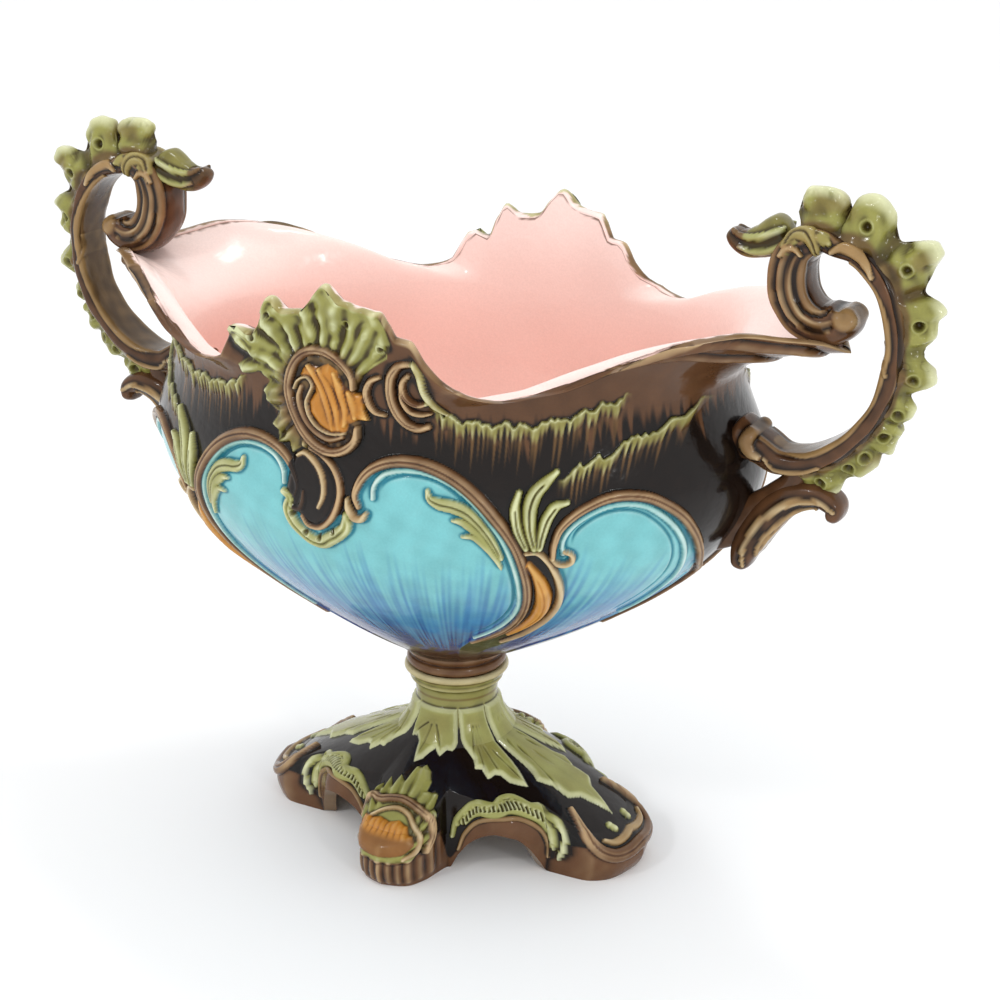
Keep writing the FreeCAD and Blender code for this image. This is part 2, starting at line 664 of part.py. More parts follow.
def dimple_cutters(line):
    """Short round pits in both faces of the crest."""
    deep, thin = size("crest_half_depth"), size("tooth_half_depth")
    cutters = []
    for share, out in DIMPLES:
        i = int(round(share * (SCROLL_SAMPLES - 1)))
        x, z, width = line[i]
        across = across_of(line, i)
        reach = 0.5 * width + out
        foot = (0.5 - CREST_FOOT) * width
        face = blend(deep, thin, clamp((out + foot) / (edge_height(share) + foot)))
        pit = min(size("dimple_depth"), 0.6 * face)
        for way in (-1, 1):
            start = Vector(x - across[0] * reach, way * deep, z - across[1] * reach)
            cutters.append(Part.makeCylinder(size("dimple_radius"), deep - face + pit, start,
                                             Vector(0, -way, 0)))
    return cutters


def make_handle(bowl):
    """The four pieces of the right-hand handle, each cut to sit on the others."""
    depth = size("handle_half_depth")
    scroll = limb(placed_line(SCROLL_LINE, PULLED_POINTS), depth)
    scroll = only_solid(scroll.cut(bowl))
    crest = only_solid(make_handle_crest().cut(scroll))
    beak = limb(placed_line(BEAK_LINE, 1), BEAK_DEPTH[0] * depth, BEAK_DEPTH[1] * depth)
    beak = only_solid(beak.cut(scroll).cut(crest))
    bracket = fused([limb(placed_line(BRACKET_LINE), BRACKET_DEPTH * depth),
                     limb(placed_line(BRACKET_STEM), STEM_DEPTH * depth)])
    bracket = only_solid(bracket.cut(bowl).cut(scroll).cut(crest))
    return {"scroll": scroll, "crest": crest, "beak_leaf": beak, "bracket": bracket}


# ---------------------------------------------------------------- the stand

# ground line of a quarter of the stand: degrees from the handles' side, share of the foot
FOOT_PLAN = [(0.0, 1.0), (10.0, 0.97), (16.0, 0.90), (20.0, 0.76), (22.5, 0.69),
             (26.0, 0.685), (31.0, 0.675), (37.0, 0.67)]
# the same towards the front foot
FRONT_PLAN = [(44.5, 0.835), (51.5, 0.745), (59.0, 0.69), (66.0, 0.66), (70.0, 0.72),
              (75.0, 0.85), (81.0, 0.96), (90.0, 1.0)]
ARCH_RISE = [(0.0, 0.0), (21.0, 0.0), (25.5, 0.30), (30.5, 0.66), (37.0, 0.93), (43.5, 1.0),
             (51.5, 0.79), (60.0, 0.38), (66.0, 0.0), (90.0, 0.0)]
# how far the dome's edge stands in from the ground line, and the roll out past it
EDGE_INSET = [(0.0, 11.0), (16.0, 8.0), (22.0, 5.0), (37.0, 6.0), (60.0, 4.0), (75.0, 5.0),
              (90.0, 9.0)]
ROLL_SPREAD = 1.1
ROLL_HEIGHT = 0.62
# the dome sinks evenly from the shoulder, then turns down at its edge
DOME_SLOPE = 0.66
DOME_TURN = 8
# the ground plane trims the feet flat this far up
BELOW_GROUND = 0.6
STAND_POINTS = 120


def quarter(angle):
    """Degrees from the X axis, folded into the first quarter."""
    turn = abs(math.degrees(math.atan2(math.sin(angle), math.cos(angle))))
    return 180.0 - turn if turn > 90.0 else turn


def foot_curves():
    """Plan radius, arch height and inset of the dome's edge, each against degrees."""
    plan = [(turn, share * size("foot_half_length")) for turn, share in FOOT_PLAN]
    plan += [(turn, share * size("foot_half_width")) for turn, share in FRONT_PLAN]
    arch = [(turn, share * (size("arch_height") + BELOW_GROUND)) for turn, share in ARCH_RISE]
    return steady_curve(plan), steady_curve(arch), steady_curve(EDGE_INSET)


def stem_radius_at(height):
    top, waist = size("collar_height"), size("stem_height")
    lip, thin = size("collar_radius"), size("stem_radius")
    low, wide = size("shoulder_height"), size("shoulder_radius")
    curve = steady_curve([(low, wide), (blend(low, waist, 0.35), blend(wide, thin, 0.55)),
                          (blend(low, waist, 0.65), blend(wide, thin, 0.86)), (waist, thin),
                          (blend(waist, top, 0.4), blend(thin, lip, 0.15)),
                          (blend(waist, top, 0.72), blend(thin, lip, 0.66)),
                          (top, lip)])
    return curve(height)


def stand_point(angle, reach, curves, inset=0.0):
    """The stand's skin. Reach runs 0 to 1 down the stem, to 2 over the dome, to 3 down the
    skirt; inset makes its inside."""
    plan, arch, edge_inset = curves
    low, wide = size("shoulder_height"), size("shoulder_radius")
    if reach <= 1.0:
        height = blend(size("collar_height"), low, reach)
        radius = stem_radius_at(height) - inset
        return Vector(radius * math.cos(angle), radius * math.sin(angle), height - inset)
    turn = quarter(angle)
    foot = plan(turn)
    edge = foot - edge_inset(turn)
    bulge = foot + ROLL_SPREAD * edge_inset(turn) * clamp(1.0 - arch(turn) / size("arch_height"))
    ground = arch(turn) - BELOW_GROUND
    start = wide / (size("foot_half_length") + EDGE_INSET[0][1] * 0.5)
    end = math.hypot(edge * math.cos(angle) / (size("foot_half_length") + EDGE_INSET[0][1] * 0.5),
                     edge * math.sin(angle) / (size("foot_half_width") + EDGE_INSET[-1][1] * 0.5))

    def dome_height(share):
        run = clamp((blend(start, end, share) - start) / (1.0 - start))
        return low * (1.0 - DOME_SLOPE * run - (1.0 - DOME_SLOPE) * run ** DOME_TURN)

    if reach <= 2.0:
        share = reach - 1.0
        radius = blend(wide, edge, share) - inset
        return Vector(radius * math.cos(angle), radius * math.sin(angle),
                      dome_height(share) - inset)
    share = reach - 2.0
    top = dome_height(1.0) - inset
    turn_height = blend(ground, top, ROLL_HEIGHT)
    radius = edge * (1 - share) ** 2 + bulge * 2 * share * (1 - share) + foot * share ** 2
    height = top * (1 - share) ** 2 + turn_height * 2 * share * (1 - share) + ground * share ** 2
    return Vector((radius - inset) * math.cos(angle), (radius - inset) * math.sin(angle), height)


def make_stand():
    curves = foot_curves()

    def ring(reach, inset=0.0):
        return closed_curve([stand_point(2 * math.pi * i / STAND_POINTS, reach, curves, inset)
                             for i in range(STAND_POINTS)])

    wall = size("stand_wall")
    reaches = [1.0 + i / 8.0 for i in range(8)] + [2.0 + i / 5.0 for i in range(6)]
    outer = [ring(i / 8.0) for i in range(8)] + [ring(reach) for reach in reaches]
    inner = [ring(reach, wall) for reach in reaches]
    faces = Part.makeLoft(outer, False, False, False).Faces
    faces += Part.makeLoft(inner, False, False, False).Faces
    faces += Part.makeLoft([outer[-1], inner[-1]], False, True, False).Faces
    faces.append(Part.Face(outer[0]))
    faces.append(Part.Face(inner[0]))
    stand = solid_from_faces(faces)

    reach = 2.0 * (size("foot_half_length") + size("foot_half_width"))
    ground = Part.makeBox(reach, reach, GROUND_BLOCK, Vector(-reach / 2, -reach / 2,
                                                             -GROUND_BLOCK))
    ledge = size("collar_height") - size("socket_depth")
    socket = Part.makeCylinder(size("spigot_radius") + size("socket_clearance"),
                               size("socket_depth") + 1.0, Vector(0, 0, ledge))
    bore = Part.makeCylinder(size("rod_radius") + size("rod_clearance"), ledge + 1.0,
                             Vector(0, 0, 0))
    return only_solid(stand.cut(ground).cut(socket).cut(bore))


GROUND_BLOCK = 20.0


def on_stand(turn, reach):
    """Point and outward normal on the stand; turn in degrees from the front, towards +X."""
    angle = math.radians(turn - 90.0)
    small = 0.004
    curves = STAND_CURVES
    point = stand_point(angle, reach, curves)
    along = stand_point(angle + small, reach, curves) - stand_point(angle - small, reach, curves)
    down = stand_point(angle, reach + small, curves) - stand_point(angle, reach - small, curves)
    normal = down.cross(along)
    normal.normalize()
    return point, normal


STAND_CURVES = foot_curves()

# acanthus leaf round the stem: turn from its middle, reach along the stand's skin
LEAF_OUTLINE = [(-7.0, 0.62), (-13.0, 0.80), (-17.0, 0.97), (-19.0, 1.12), (-15.5, 1.13),
                (-15.0, 1.24), (-17.0, 1.37), (-11.5, 1.36), (-8.0, 1.47), (-5.0, 1.62),
                (0.0, 1.78), (3.5, 1.60), (7.0, 1.48), (10.5, 1.40), (15.0, 1.42),
                (14.5, 1.27), (16.0, 1.15), (19.0, 1.10), (17.0, 0.96), (13.0, 0.80),
                (7.0, 0.62)]
LEAF_CENTRE = (0.0, 1.12)
LEAF_RINGS = [(0.12, 0.0), (0.3, 0.0), (0.48, 0.0), (0.66, 0.0), (0.84, 0.0), (1.0, 0.0),
              (0.96, 0.55), (0.7, 0.9), (0.3, 1.0)]
LEAF_RINGS_MM = [(share, rise * size("leaf_height")) for share, rise in LEAF_RINGS]
LEAF_TURNS = [-90.0, -35.0, 35.0, 90.0, 145.0, 215.0]
# ruffle over an arch, and the cartouche on a front foot: turn, reach
ARCH_RUFFLE = [(23.0, 1.90, 3.0, 1.5), (27.0, 1.88, 7.0, 3.0), (36.0, 1.87, 9.0, 3.5),
               (46.0, 1.87, 9.0, 3.5), (56.0, 1.86, 9.0, 3.5), (64.0, 1.84, 7.0, 3.0),
               (67.5, 1.86, 3.0, 1.5)]
FOOT_SHELL_CENTRE = (0.0, 1.82)
FOOT_SHELL_OUTLINE = [(-19.0, 1.86), (-17.0, 1.70), (-13.0, 1.64), (-14.0, 1.50),
                      (-9.0, 1.46), (-4.0, 1.36), (2.0, 1.33), (8.0, 1.34), (12.0, 1.42),
                      (14.5, 1.54), (16.0, 1.66), (18.5, 1.76), (19.0, 1.90), (15.0, 1.96),
                      (11.0, 2.15), (5.0, 2.28), (-3.0, 2.30), (-10.0, 2.20), (-15.0, 2.0)]
FOOT_SHELL_RINGS = [(0.12, 0.0), (0.3, 0.0), (0.48, 0.0), (0.66, 0.0), (0.84, 0.0), (1.0, 0.0),
                    (0.96, 2.0), (0.7, 3.0), (0.3, 2.4)]
# these lie on the foot's shell, whose highest ring is 3 mm up
FOOT_BOSS_RINGS = [(0.2, 3.3), (0.6, 3.3), (1.0, 3.3), (0.88, 5.2), (0.55, 6.2), (0.2, 6.6)]
FOOT_BOSS_CENTRE = (0.0, 1.90)
FOOT_BOSS_RADIUS = (8.5, 0.22)


def sprigged_on_stand(centre, outline, rings, place=0.0):
    """A plaque on the stand; place turns it round the stem."""
    return slab_on(lambda turn, reach: on_stand(turn + place, reach), centre, outline, rings,
                   size("stand_seat"))


def ruffle_on_stand():
    """A half-round strip along the dome's edge over an arch."""
    spots = even_samples([(p[0], p[1] * REACH_SCALE, p[2], p[3]) for p in ARCH_RUFFLE], 18)
    seats = [on_stand(turn, reach / REACH_SCALE) for turn, reach, _, _ in spots]
    return strip_on(seats, [(spot[2], spot[3]) for spot in spots], size("stand_seat"))


# a step of reach weighs this much against a degree when a route on the stand is spaced out
REACH_SCALE = 40.0


# ---------------------------------------------------------------- turned and bought pieces

def own_plane(body, role):
    for feature in body.Origin.OriginFeatures:
        if feature.Role == role:
            return feature
    raise RuntimeError("no plane " + role)


def new_body(name):
    body = DOCUMENT.addObject("PartDesign::Body", name)
    body.Label = name
    return body


def attached_sketch(body, name, role="XY_Plane"):
    sketch = body.newObject("Sketcher::SketchObject", name)
    sketch.AttachmentSupport = [(own_plane(body, role), "")]
    sketch.MapMode = "FlatFace"
    return sketch


def add_circle(sketch, radius, expression):
    """A circle on the sketch's origin whose radius follows the sheet."""
    circle = Part.Circle(Vector(0, 0, 0), Vector(0, 0, 1), radius)
    index = sketch.addGeometry(circle, False)
    sketch.addConstraint(Sketcher.Constraint("Coincident", index, 3, -1, 1))
    constraint = sketch.addConstraint(Sketcher.Constraint("Radius", index, radius))
    sketch.setExpression("Constraints[%d]" % constraint, expression)


def padded(body, sketch, name, length, expression):
    pad = body.newObject("PartDesign::Pad", name)
    pad.Profile = sketch
    pad.Length = length
    pad.setExpression("Length", expression)
    return pad


def ring_body(name, outer, inner, thickness, height):
    """A flat ring: outer, inner, thickness and height are expressions on the sheet."""
    body = new_body(name)
    sketch = attached_sketch(body, name + "_profile")
    add_circle(sketch, 10.0, outer)
    add_circle(sketch, 5.0, inner)
    padded(body, sketch, name + "_pad", 1.0, thickness)
    body.setExpression("Placement.Base.z", height)
    return body


def add_hexagon(sketch, flats, expression):
    """A hexagon about the sketch's origin, sized across its flats."""
    radius = flats / math.sqrt(3.0)
    corners = [Vector(radius * math.cos(math.pi / 3 * i), radius * math.sin(math.pi / 3 * i), 0)
               for i in range(6)]
    lines = [sketch.addGeometry(Part.LineSegment(corners[i], corners[(i + 1) % 6]), False)
             for i in range(6)]
    guide = sketch.addGeometry(Part.Circle(Vector(0, 0, 0), Vector(0, 0, 1), radius), True)
    sketch.addConstraint(Sketcher.Constraint("Coincident", guide, 3, -1, 1))
    for i in range(6):
        sketch.addConstraint(Sketcher.Constraint("Coincident", lines[i], 2,
                                                 lines[(i + 1) % 6], 1))
        sketch.addConstraint(Sketcher.Constraint("PointOnObject", lines[i], 1, guide))
    for i in range(1, 6):
        sketch.addConstraint(Sketcher.Constraint("Equal", lines[0], lines[i]))
    sketch.addConstraint(Sketcher.Constraint("Horizontal", lines[1]))
    constraint = sketch.addConstraint(Sketcher.Constraint("Radius", guide, radius))
    sketch.setExpression("Constraints[%d]" % constraint, expression)


def nut_body(name, height):
    body = new_body(name)
    sketch = attached_sketch(body, name + "_profile")
    add_hexagon(sketch, size("nut_flats"), "Sizes.nut_flats / sqrt(3)")
    add_circle(sketch, size("rod_radius"), "Sizes.rod_radius + Sizes.thread_line")
    padded(body, sketch, name + "_pad", 1.0, "Sizes.nut_height")
    body.setExpression("Placement.Base.z", height)
    return body


# how far the cap nut's dome starts inside its flats
CAP_SHOULDER = 0.6


def cap_nut_body(name, height):
    """A hexagon with a domed top and a blind bore from below."""
    body = new_body(name)
    sketch = attached_sketch(body, name + "_profile")
    add_hexagon(sketch, size("nut_flats"), "Sizes.nut_flats / sqrt(3)")
    padded(body, sketch, name + "_pad", 1.0, "Sizes.nut_height")

    dome = attached_sketch(body, name + "_dome_profile", "XZ_Plane")
    low, top = size("nut_height"), size("cap_height")
    radius = 0.5 * size("nut_flats") - CAP_SHOULDER
    rise = top - low
    arc_radius = (radius * radius + rise * rise) / (2 * rise)
    centre = Vector(0, top - arc_radius, 0)
    start = math.atan2(low - centre.y, radius)
    arc = Part.ArcOfCircle(Part.Circle(centre, Vector(0, 0, 1), arc_radius), start, math.pi / 2)
    foot, crown, rim = Vector(0, low, 0), Vector(0, top, 0), Vector(radius, low, 0)
    edges = [dome.addGeometry(Part.LineSegment(foot, rim), False),
             dome.addGeometry(arc, False),
             dome.addGeometry(Part.LineSegment(crown, foot), False)]
    dome.addConstraint(Sketcher.Constraint("Coincident", edges[0], 2, edges[1], 1))
    dome.addConstraint(Sketcher.Constraint("Coincident", edges[1], 2, edges[2], 1))
    dome.addConstraint(Sketcher.Constraint("Coincident", edges[2], 2, edges[0], 1))
    dome.addConstraint(Sketcher.Constraint("PointOnObject", edges[0], 1, -2))
    dome.addConstraint(Sketcher.Constraint("PointOnObject", edges[1], 2, -2))
    dome.addConstraint(Sketcher.Constraint("PointOnObject", edges[1], 3, -2))
    dome.addConstraint(Sketcher.Constraint("Horizontal", edges[0]))
    for kind, index, point, value, expression in (
            ("DistanceY", edges[0], 1, low, "Sizes.nut_height"),
            ("DistanceY", edges[1], 2, top, "Sizes.cap_height"),
            ("DistanceX", edges[0], 2, radius, "Sizes.nut_flats / 2 - %g" % CAP_SHOULDER)):
        constraint = dome.addConstraint(Sketcher.Constraint(kind, -1, 1, index, point, value))
        dome.setExpression("Constraints[%d]" % constraint, expression)
    turned = body.newObject("PartDesign::Revolution", name + "_dome")
    turned.Profile = dome
    turned.ReferenceAxis = (dome, ["V_Axis"])
    turned.Angle = 360.0

    bore = attached_sketch(body, name + "_bore_profile")
    add_circle(bore, size("rod_radius"), "Sizes.rod_radius + Sizes.thread_line")
    pocket = body.newObject("PartDesign::Pocket", name + "_bore")
    pocket.Profile = bore
    pocket.Reversed = True
    pocket.Length = size("nut_height")
    pocket.setExpression("Length", "Sizes.nut_height + Sizes.rod_overrun")
    body.setExpression("Placement.Base.z", height)
    return body


LEDGE = "(Sizes.collar_height - Sizes.socket_depth)"
BOWL_FLOOR = "(%s + Sizes.gasket_thickness + Sizes.spigot_length + Sizes.floor_thickness)" % LEDGE
CEILING = "(Sizes.shoulder_height - Sizes.stand_wall)"
BORE = "Sizes.rod_radius + Sizes.rod_clearance"


def make_tie():
    """The rod, its two nuts, and the rings under them and between the two pots."""
    above = BOWL_FLOOR + " + Sizes.gasket_thickness + Sizes.washer_thickness"
    below = CEILING + " - Sizes.gasket_thickness - Sizes.washer_thickness"
    bodies = [
        ring_body("joint_gasket", "Sizes.spigot_radius - Sizes.socket_clearance", BORE,
                  "Sizes.gasket_thickness", LEDGE),
        ring_body("floor_gasket", "Sizes.gasket_radius", BORE, "Sizes.gasket_thickness",
                  BOWL_FLOOR),
        ring_body("floor_washer", "Sizes.washer_radius", "Sizes.rod_radius + Sizes.thread_line",
                  "Sizes.washer_thickness", BOWL_FLOOR + " + Sizes.gasket_thickness"),
        ring_body("stem_gasket", "Sizes.gasket_radius", BORE, "Sizes.gasket_thickness",
                  CEILING + " - Sizes.gasket_thickness"),
        ring_body("stem_washer", "Sizes.washer_radius", "Sizes.rod_radius + Sizes.thread_line",
                  "Sizes.washer_thickness", below),
        nut_body("stem_nut", below + " - Sizes.nut_height"),
        cap_nut_body("cap_nut", above),
    ]
    rod = new_body("tie_rod")
    sketch = attached_sketch(rod, "tie_rod_profile")
    add_circle(sketch, size("rod_radius"), "Sizes.rod_radius")
    length = "(%s + Sizes.nut_height) - (%s - Sizes.nut_height - Sizes.rod_overrun)"
    padded(rod, sketch, "tie_rod_pad", 50.0, length % (above, below))
    rod.setExpression("Placement.Base.z", below + " - Sizes.nut_height - Sizes.rod_overrun")
    bodies.append(rod)
    DOCUMENT.recompute()
    return bodies


# ---------------------------------------------------------------- the whole

def add_piece(name, shape):
    piece = DOCUMENT.addObject("Part::Feature", name)
    piece.Label = name
    piece.Shape = shape
    return piece


def crest_share(turn):
    """Height of the crest's toothed edge at a turn from the front, as on_wall counts it."""
    x = size("rim_half_length") * math.sin(math.radians(turn))
    for (x1, share1), (x2, share2) in zip(CREST_TEETH, CREST_TEETH[1:]):
        if x <= x2:
            return 1.0 + blend(share1, share2, clamp((x - x1) / (x2 - x1)))
    return 1.0 + CREST_TEETH[-1][1]


def cut_by(shape, *others):
    """Seats one piece on others: what they share is taken off the first."""
    for other in others:
        shape = shape.cut(other)
    return only_solid(shape)


# the cartouche's shell ends this far under the crest's edge, in crest rises
SHELL_MARGIN = 0.04
# the rim's moulding: where it starts beside the crest, and its last turn from the front
MOULDING_START = 69.0
MOULDING_END = 79.0
# sections along each scroll of the relief
SECTIONS = {"lobe_frame": 22, "end_frame": 18, "amber_drop": 12, "cartouche_scroll": 24,
            "pendant": 12, "side_scroll": 14}


def make_bowl_relief():
    """Front right-hand pieces of the relief, with those on the middle line."""
    relief = {}
    start = math.degrees(math.asin(MOULDING_START / size("rim_half_length")))
    relief["rim_moulding"] = rim_moulding(start, MOULDING_END)
    lobe = sprigged_scroll(LOBE_FRAME, SECTIONS["lobe_frame"])
    end = sprigged_scroll(END_FRAME, SECTIONS["end_frame"])
    palmette = cut_by(make_palmette(), lobe, end)
    drop = cut_by(sprigged_scroll(AMBER_DROP, SECTIONS["amber_drop"]), lobe, end, palmette)
    relief.update(lobe_frame=lobe, end_frame=end, palmette=palmette, amber_drop=drop)
    outline = [(turn, min(share, crest_share(turn) - SHELL_MARGIN))
               for turn, share in SHELL_OUTLINE]
    rings = [(share, rise * size("shell_height")) for share, rise in SHELL_RINGS]
    shell = sprigged_slab(SHELL_CENTRE, outline, rings)
    scroll = sprigged_scroll(CARTOUCHE_SCROLL, SECTIONS["cartouche_scroll"],
                             size("shell_height") + SHELL_CLEARANCE)
    relief.update(cartouche_shell=shell, cartouche_scroll=scroll, cartouche_boss=make_boss(),
                  pendant=sprigged_scroll(PENDANT, SECTIONS["pendant"]),
                  side_scroll=sprigged_scroll(SIDE_SCROLL, SECTIONS["side_scroll"]))
    return relief


MIDDLE_PIECES = ("cartouche_shell", "cartouche_scroll", "cartouche_boss", "pendant",
                 "side_scroll")


def build_document():
    bowl = make_bowl()
    add_piece("bowl_body", bowl)
    for name, shape in make_bowl_relief().items():
        for face, behind in (("front", False), ("back", True)):
            if name in MIDDLE_PIECES:
                add_piece("%s_%s" % (face, name), mirrored(shape, False, behind))
                continue
            for hand, across in (("right", False), ("left", True)):
                add_piece("%s_%s_%s" % (face, hand, name), mirrored(shape, across, behind))
    for name, shape in make_handle(bowl).items():
        for hand, across in (("right", False), ("left", True)):
            add_piece("%s_handle_%s" % (hand, name), mirrored(shape, across))

    add_piece("stand_body", make_stand())
    shell = sprigged_on_stand(FOOT_SHELL_CENTRE, FOOT_SHELL_OUTLINE, FOOT_SHELL_RINGS)
    boss_outline = round_outline(FOOT_BOSS_CENTRE, FOOT_BOSS_RADIUS)
    boss = sprigged_on_stand(FOOT_BOSS_CENTRE, boss_outline, FOOT_BOSS_RINGS)
    for face, behind in (("front", False), ("back", True)):
        add_piece(face + "_foot_shell", mirrored(shell, False, behind))
        add_piece(face + "_foot_boss", mirrored(boss, False, behind))
    ruffle = ruffle_on_stand()
    for face, behind in (("front", False), ("back", True)):
        for hand, across in (("right", False), ("left", True)):
            add_piece("%s_%s_arch_ruffle" % (face, hand), mirrored(ruffle, across, behind))
    leaves = [sprigged_on_stand(LEAF_CENTRE, LEAF_OUTLINE, LEAF_RINGS_MM, turn)
              for turn in LEAF_TURNS]
    add_piece("stem_leaves", Part.Compound(leaves))
    make_tie()


def sub_parts():
    """The objects that are pieces: the bodies and the free-form ones."""
    kinds = ("PartDesign::Body", "Part::Feature")
    return [thing for thing in DOCUMENT.Objects if thing.TypeId in kinds]


def check_and_write():
    for thing in DOCUMENT.Objects:
        for state in thing.State:
            if state in ("Invalid", "Error"):
                raise RuntimeError(thing.Label + " did not compute")
    os.makedirs("parts", exist_ok=True)
    pieces = sub_parts()
    for piece in pieces:
        if piece.Shape.isNull() or not piece.Shape.isValid():
            raise RuntimeError(piece.Label + " is not a valid shape")
    for piece in pieces:
        piece.Shape.exportStep("parts/" + piece.Label + ".step")
    print(len(pieces), "pieces written")


build_document()
check_and_write()
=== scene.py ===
"""Looks of a footed ceramic jardiniere: a glazed bowl with relief, two scroll handles, and a
domed stand. Lengths are worked out in millimetres and put into the meshes in metres."""
import math

import bpy
import numpy as np
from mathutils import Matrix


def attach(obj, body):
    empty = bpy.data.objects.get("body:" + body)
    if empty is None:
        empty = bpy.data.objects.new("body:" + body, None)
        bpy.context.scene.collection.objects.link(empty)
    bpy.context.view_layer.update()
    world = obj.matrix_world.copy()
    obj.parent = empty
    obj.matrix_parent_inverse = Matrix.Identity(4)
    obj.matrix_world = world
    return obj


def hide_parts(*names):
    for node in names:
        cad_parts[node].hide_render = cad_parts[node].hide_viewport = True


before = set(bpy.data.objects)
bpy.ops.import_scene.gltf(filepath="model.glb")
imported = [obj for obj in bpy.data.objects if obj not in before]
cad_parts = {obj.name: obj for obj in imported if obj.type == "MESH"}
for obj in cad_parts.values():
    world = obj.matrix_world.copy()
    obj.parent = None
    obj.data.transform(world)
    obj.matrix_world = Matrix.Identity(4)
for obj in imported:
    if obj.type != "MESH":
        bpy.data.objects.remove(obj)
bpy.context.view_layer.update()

MM = 0.001


# ------------------------------------------------------------ numbers

def clamp01(x):
    """The value kept from 0 to 1."""
    return np.clip(x, 0.0, 1.0)


def smooth(x):
    """Rises from 0 to 1 with a level start and end."""
    x = clamp01(x)
    return x * x * (3.0 - 2.0 * x)


def blend(a, b, share):
    """A straight line from a at share 0 to b at share 1."""
    return a + (b - a) * share


def hermite(xs, ys, slopes, x):
    """Cubic pieces through the rows of ys at xs, with the given slopes."""
    i = np.clip(np.searchsorted(xs, x, side="right") - 1, 0, len(xs) - 2)
    h = xs[i + 1] - xs[i]
    u = (x - xs[i]) / h
    if ys.ndim > 1:
        h, u = h[..., None], u[..., None]
    return (ys[i] * (1 + 2 * u) * (1 - u) ** 2 + slopes[i] * h * u * (1 - u) ** 2
            + ys[i + 1] * u * u * (3 - 2 * u) + slopes[i + 1] * h * u * u * (u - 1))


def steady(points):
    """A curve through (x, y) pairs that never swings past them: cubic pieces whose slope is
    the harmonic mean of the two rises beside a point, or 0 where they turn."""
    xs, ys = np.array(points, float).T
    rises = np.diff(ys) / np.diff(xs)
    both, total = rises[:-1] * rises[1:], rises[:-1] + rises[1:]
    middle = np.where(both > 0, 2.0 * both / np.where(total == 0, 1.0, total), 0.0)
    slopes = np.r_[rises[0], middle, rises[-1]]
    return lambda x: hermite(xs, ys, slopes, np.clip(x, xs[0], xs[-1]))


def along(points, count):
    """Points spread evenly along a smooth line through the given ones."""
    points = np.array(points, float)
    run = np.r_[0.0, np.cumsum(np.linalg.norm(np.diff(points[:, :3], axis=0), axis=1))]
    return hermite(run, points, np.gradient(points, run, axis=0), np.linspace(0, run[-1], count))


def halving(under, low, high, rounds=32):
    """The value between low and high up to which under(value) holds, by halving the gap."""
    for _ in range(rounds):
        middle = 0.5 * (low + high)
        below = under(middle)
        low, high = np.where(below, middle, low), np.where(below, high, middle)
    return 0.5 * (low + high)


def ripple(points, size, seed, waves=9):
    """Irregular waves of about that size, from -1 to 1: sines that run in random directions."""
    chance = np.random.default_rng(seed)
    ways = chance.normal(size=(waves, points.shape[-1]))
    ways /= np.linalg.norm(ways, axis=1, keepdims=True) * size * chance.uniform(0.7, 1.5, (waves, 1))
    turns = points @ (2.0 * math.pi * ways.T) + chance.uniform(0, 2 * math.pi, waves)
    return np.clip(np.sin(turns).sum(-1) / math.sqrt(1.4 * waves), -1.0, 1.0)


def rings(ways, sizes):
    """Level rings round the middle: for each (radius, height), every way scaled and lifted."""
    return np.array([np.c_[ways * radius, np.full((len(ways), 1), z)] for radius, z in sizes])


def compass(turn):
    """Unit ways at degrees from the front towards +X."""
    return np.stack([np.sin(np.radians(turn)), -np.cos(np.radians(turn))], -1)


def softened(field, rounds, wraps):
    """Each place averaged with its neighbours along both ways of a grid, again and again."""
    for axis, (count, wrap) in enumerate(zip(rounds, wraps)):
        last = field.shape[axis] - 1
        places = np.arange(last + 1)
        before = (places - 1) % (last + 1) if wrap else np.maximum(places - 1, 0)
        after = (places + 1) % (last + 1) if wrap else np.minimum(places + 1, last)
        for _ in range(count):
            field = 0.5 * field + 0.25 * (field.take(before, axis) + field.take(after, axis))
    return field


def grid_normals(points, wrap):
    """Unit normals of a grid: the cross product of its two tangents."""
    down = np.gradient(points, axis=0)
    if wrap:
        across = np.roll(points, -1, 1) - np.roll(points, 1, 1)
    else:
        across = np.gradient(points, axis=1)
    normals = np.cross(across, down)
    return normals / np.maximum(np.linalg.norm(normals, axis=-1, keepdims=True), 1e-9)


def in_seam(normals):
    """The normals of a half's first and last columns, laid into the plane where halves meet."""
    normals[:, [0, -1], 1] = 0.0
    return normals / np.linalg.norm(normals, axis=-1, keepdims=True)


# ------------------------------------------------------------ glazes

def linear(*triples):
    """Colours as seen on a screen, 0 to 255, as amounts of light."""
    c = np.array(triples, float) / 255.0
    return np.where(c <= 0.04045, c / 12.92, ((c + 0.055) / 1.055) ** 2.4)


# each glaze as (pooled, flat, broken): darkest where it pools in a furrow, with painted shade there,
# and thin and pale where it breaks over an edge, with a painted highlight there
BROWN = linear((28, 17, 10), (98, 66, 42), (198, 168, 126))
TAN = linear((58, 38, 20), (152, 122, 80), (212, 192, 152))
GREEN = linear((60, 50, 18), (142, 140, 74), (214, 218, 172))
LEAF = linear((66, 62, 24), (152, 152, 88), (216, 218, 176))
TURQUOISE = linear((40, 122, 140), (118, 188, 192), (208, 230, 230))
DEEP_BLUE = linear((22, 26, 84), (36, 48, 116), (92, 130, 190))
MID_BLUE = linear((40, 92, 140), (70, 128, 172), (150, 190, 215))
AMBER = linear((80, 42, 12), (184, 122, 46), (228, 186, 112))
GROUND = linear((8, 6, 5), (20, 13, 10), (88, 62, 42))
DRIP = linear((44, 26, 14), (104, 76, 44), (170, 146, 100))
PINK = linear((242, 204, 194), (250, 222, 214), (253, 234, 228))
SALMON = linear((236, 182, 168), (246, 202, 190), (250, 216, 206))


def pooled_and_shaded(glaze):
    """Only the dark of a glaze, as where it lies deep in a furrow: pooled glaze with painted shade.
    """
    return glaze[:1].repeat(3, 0)


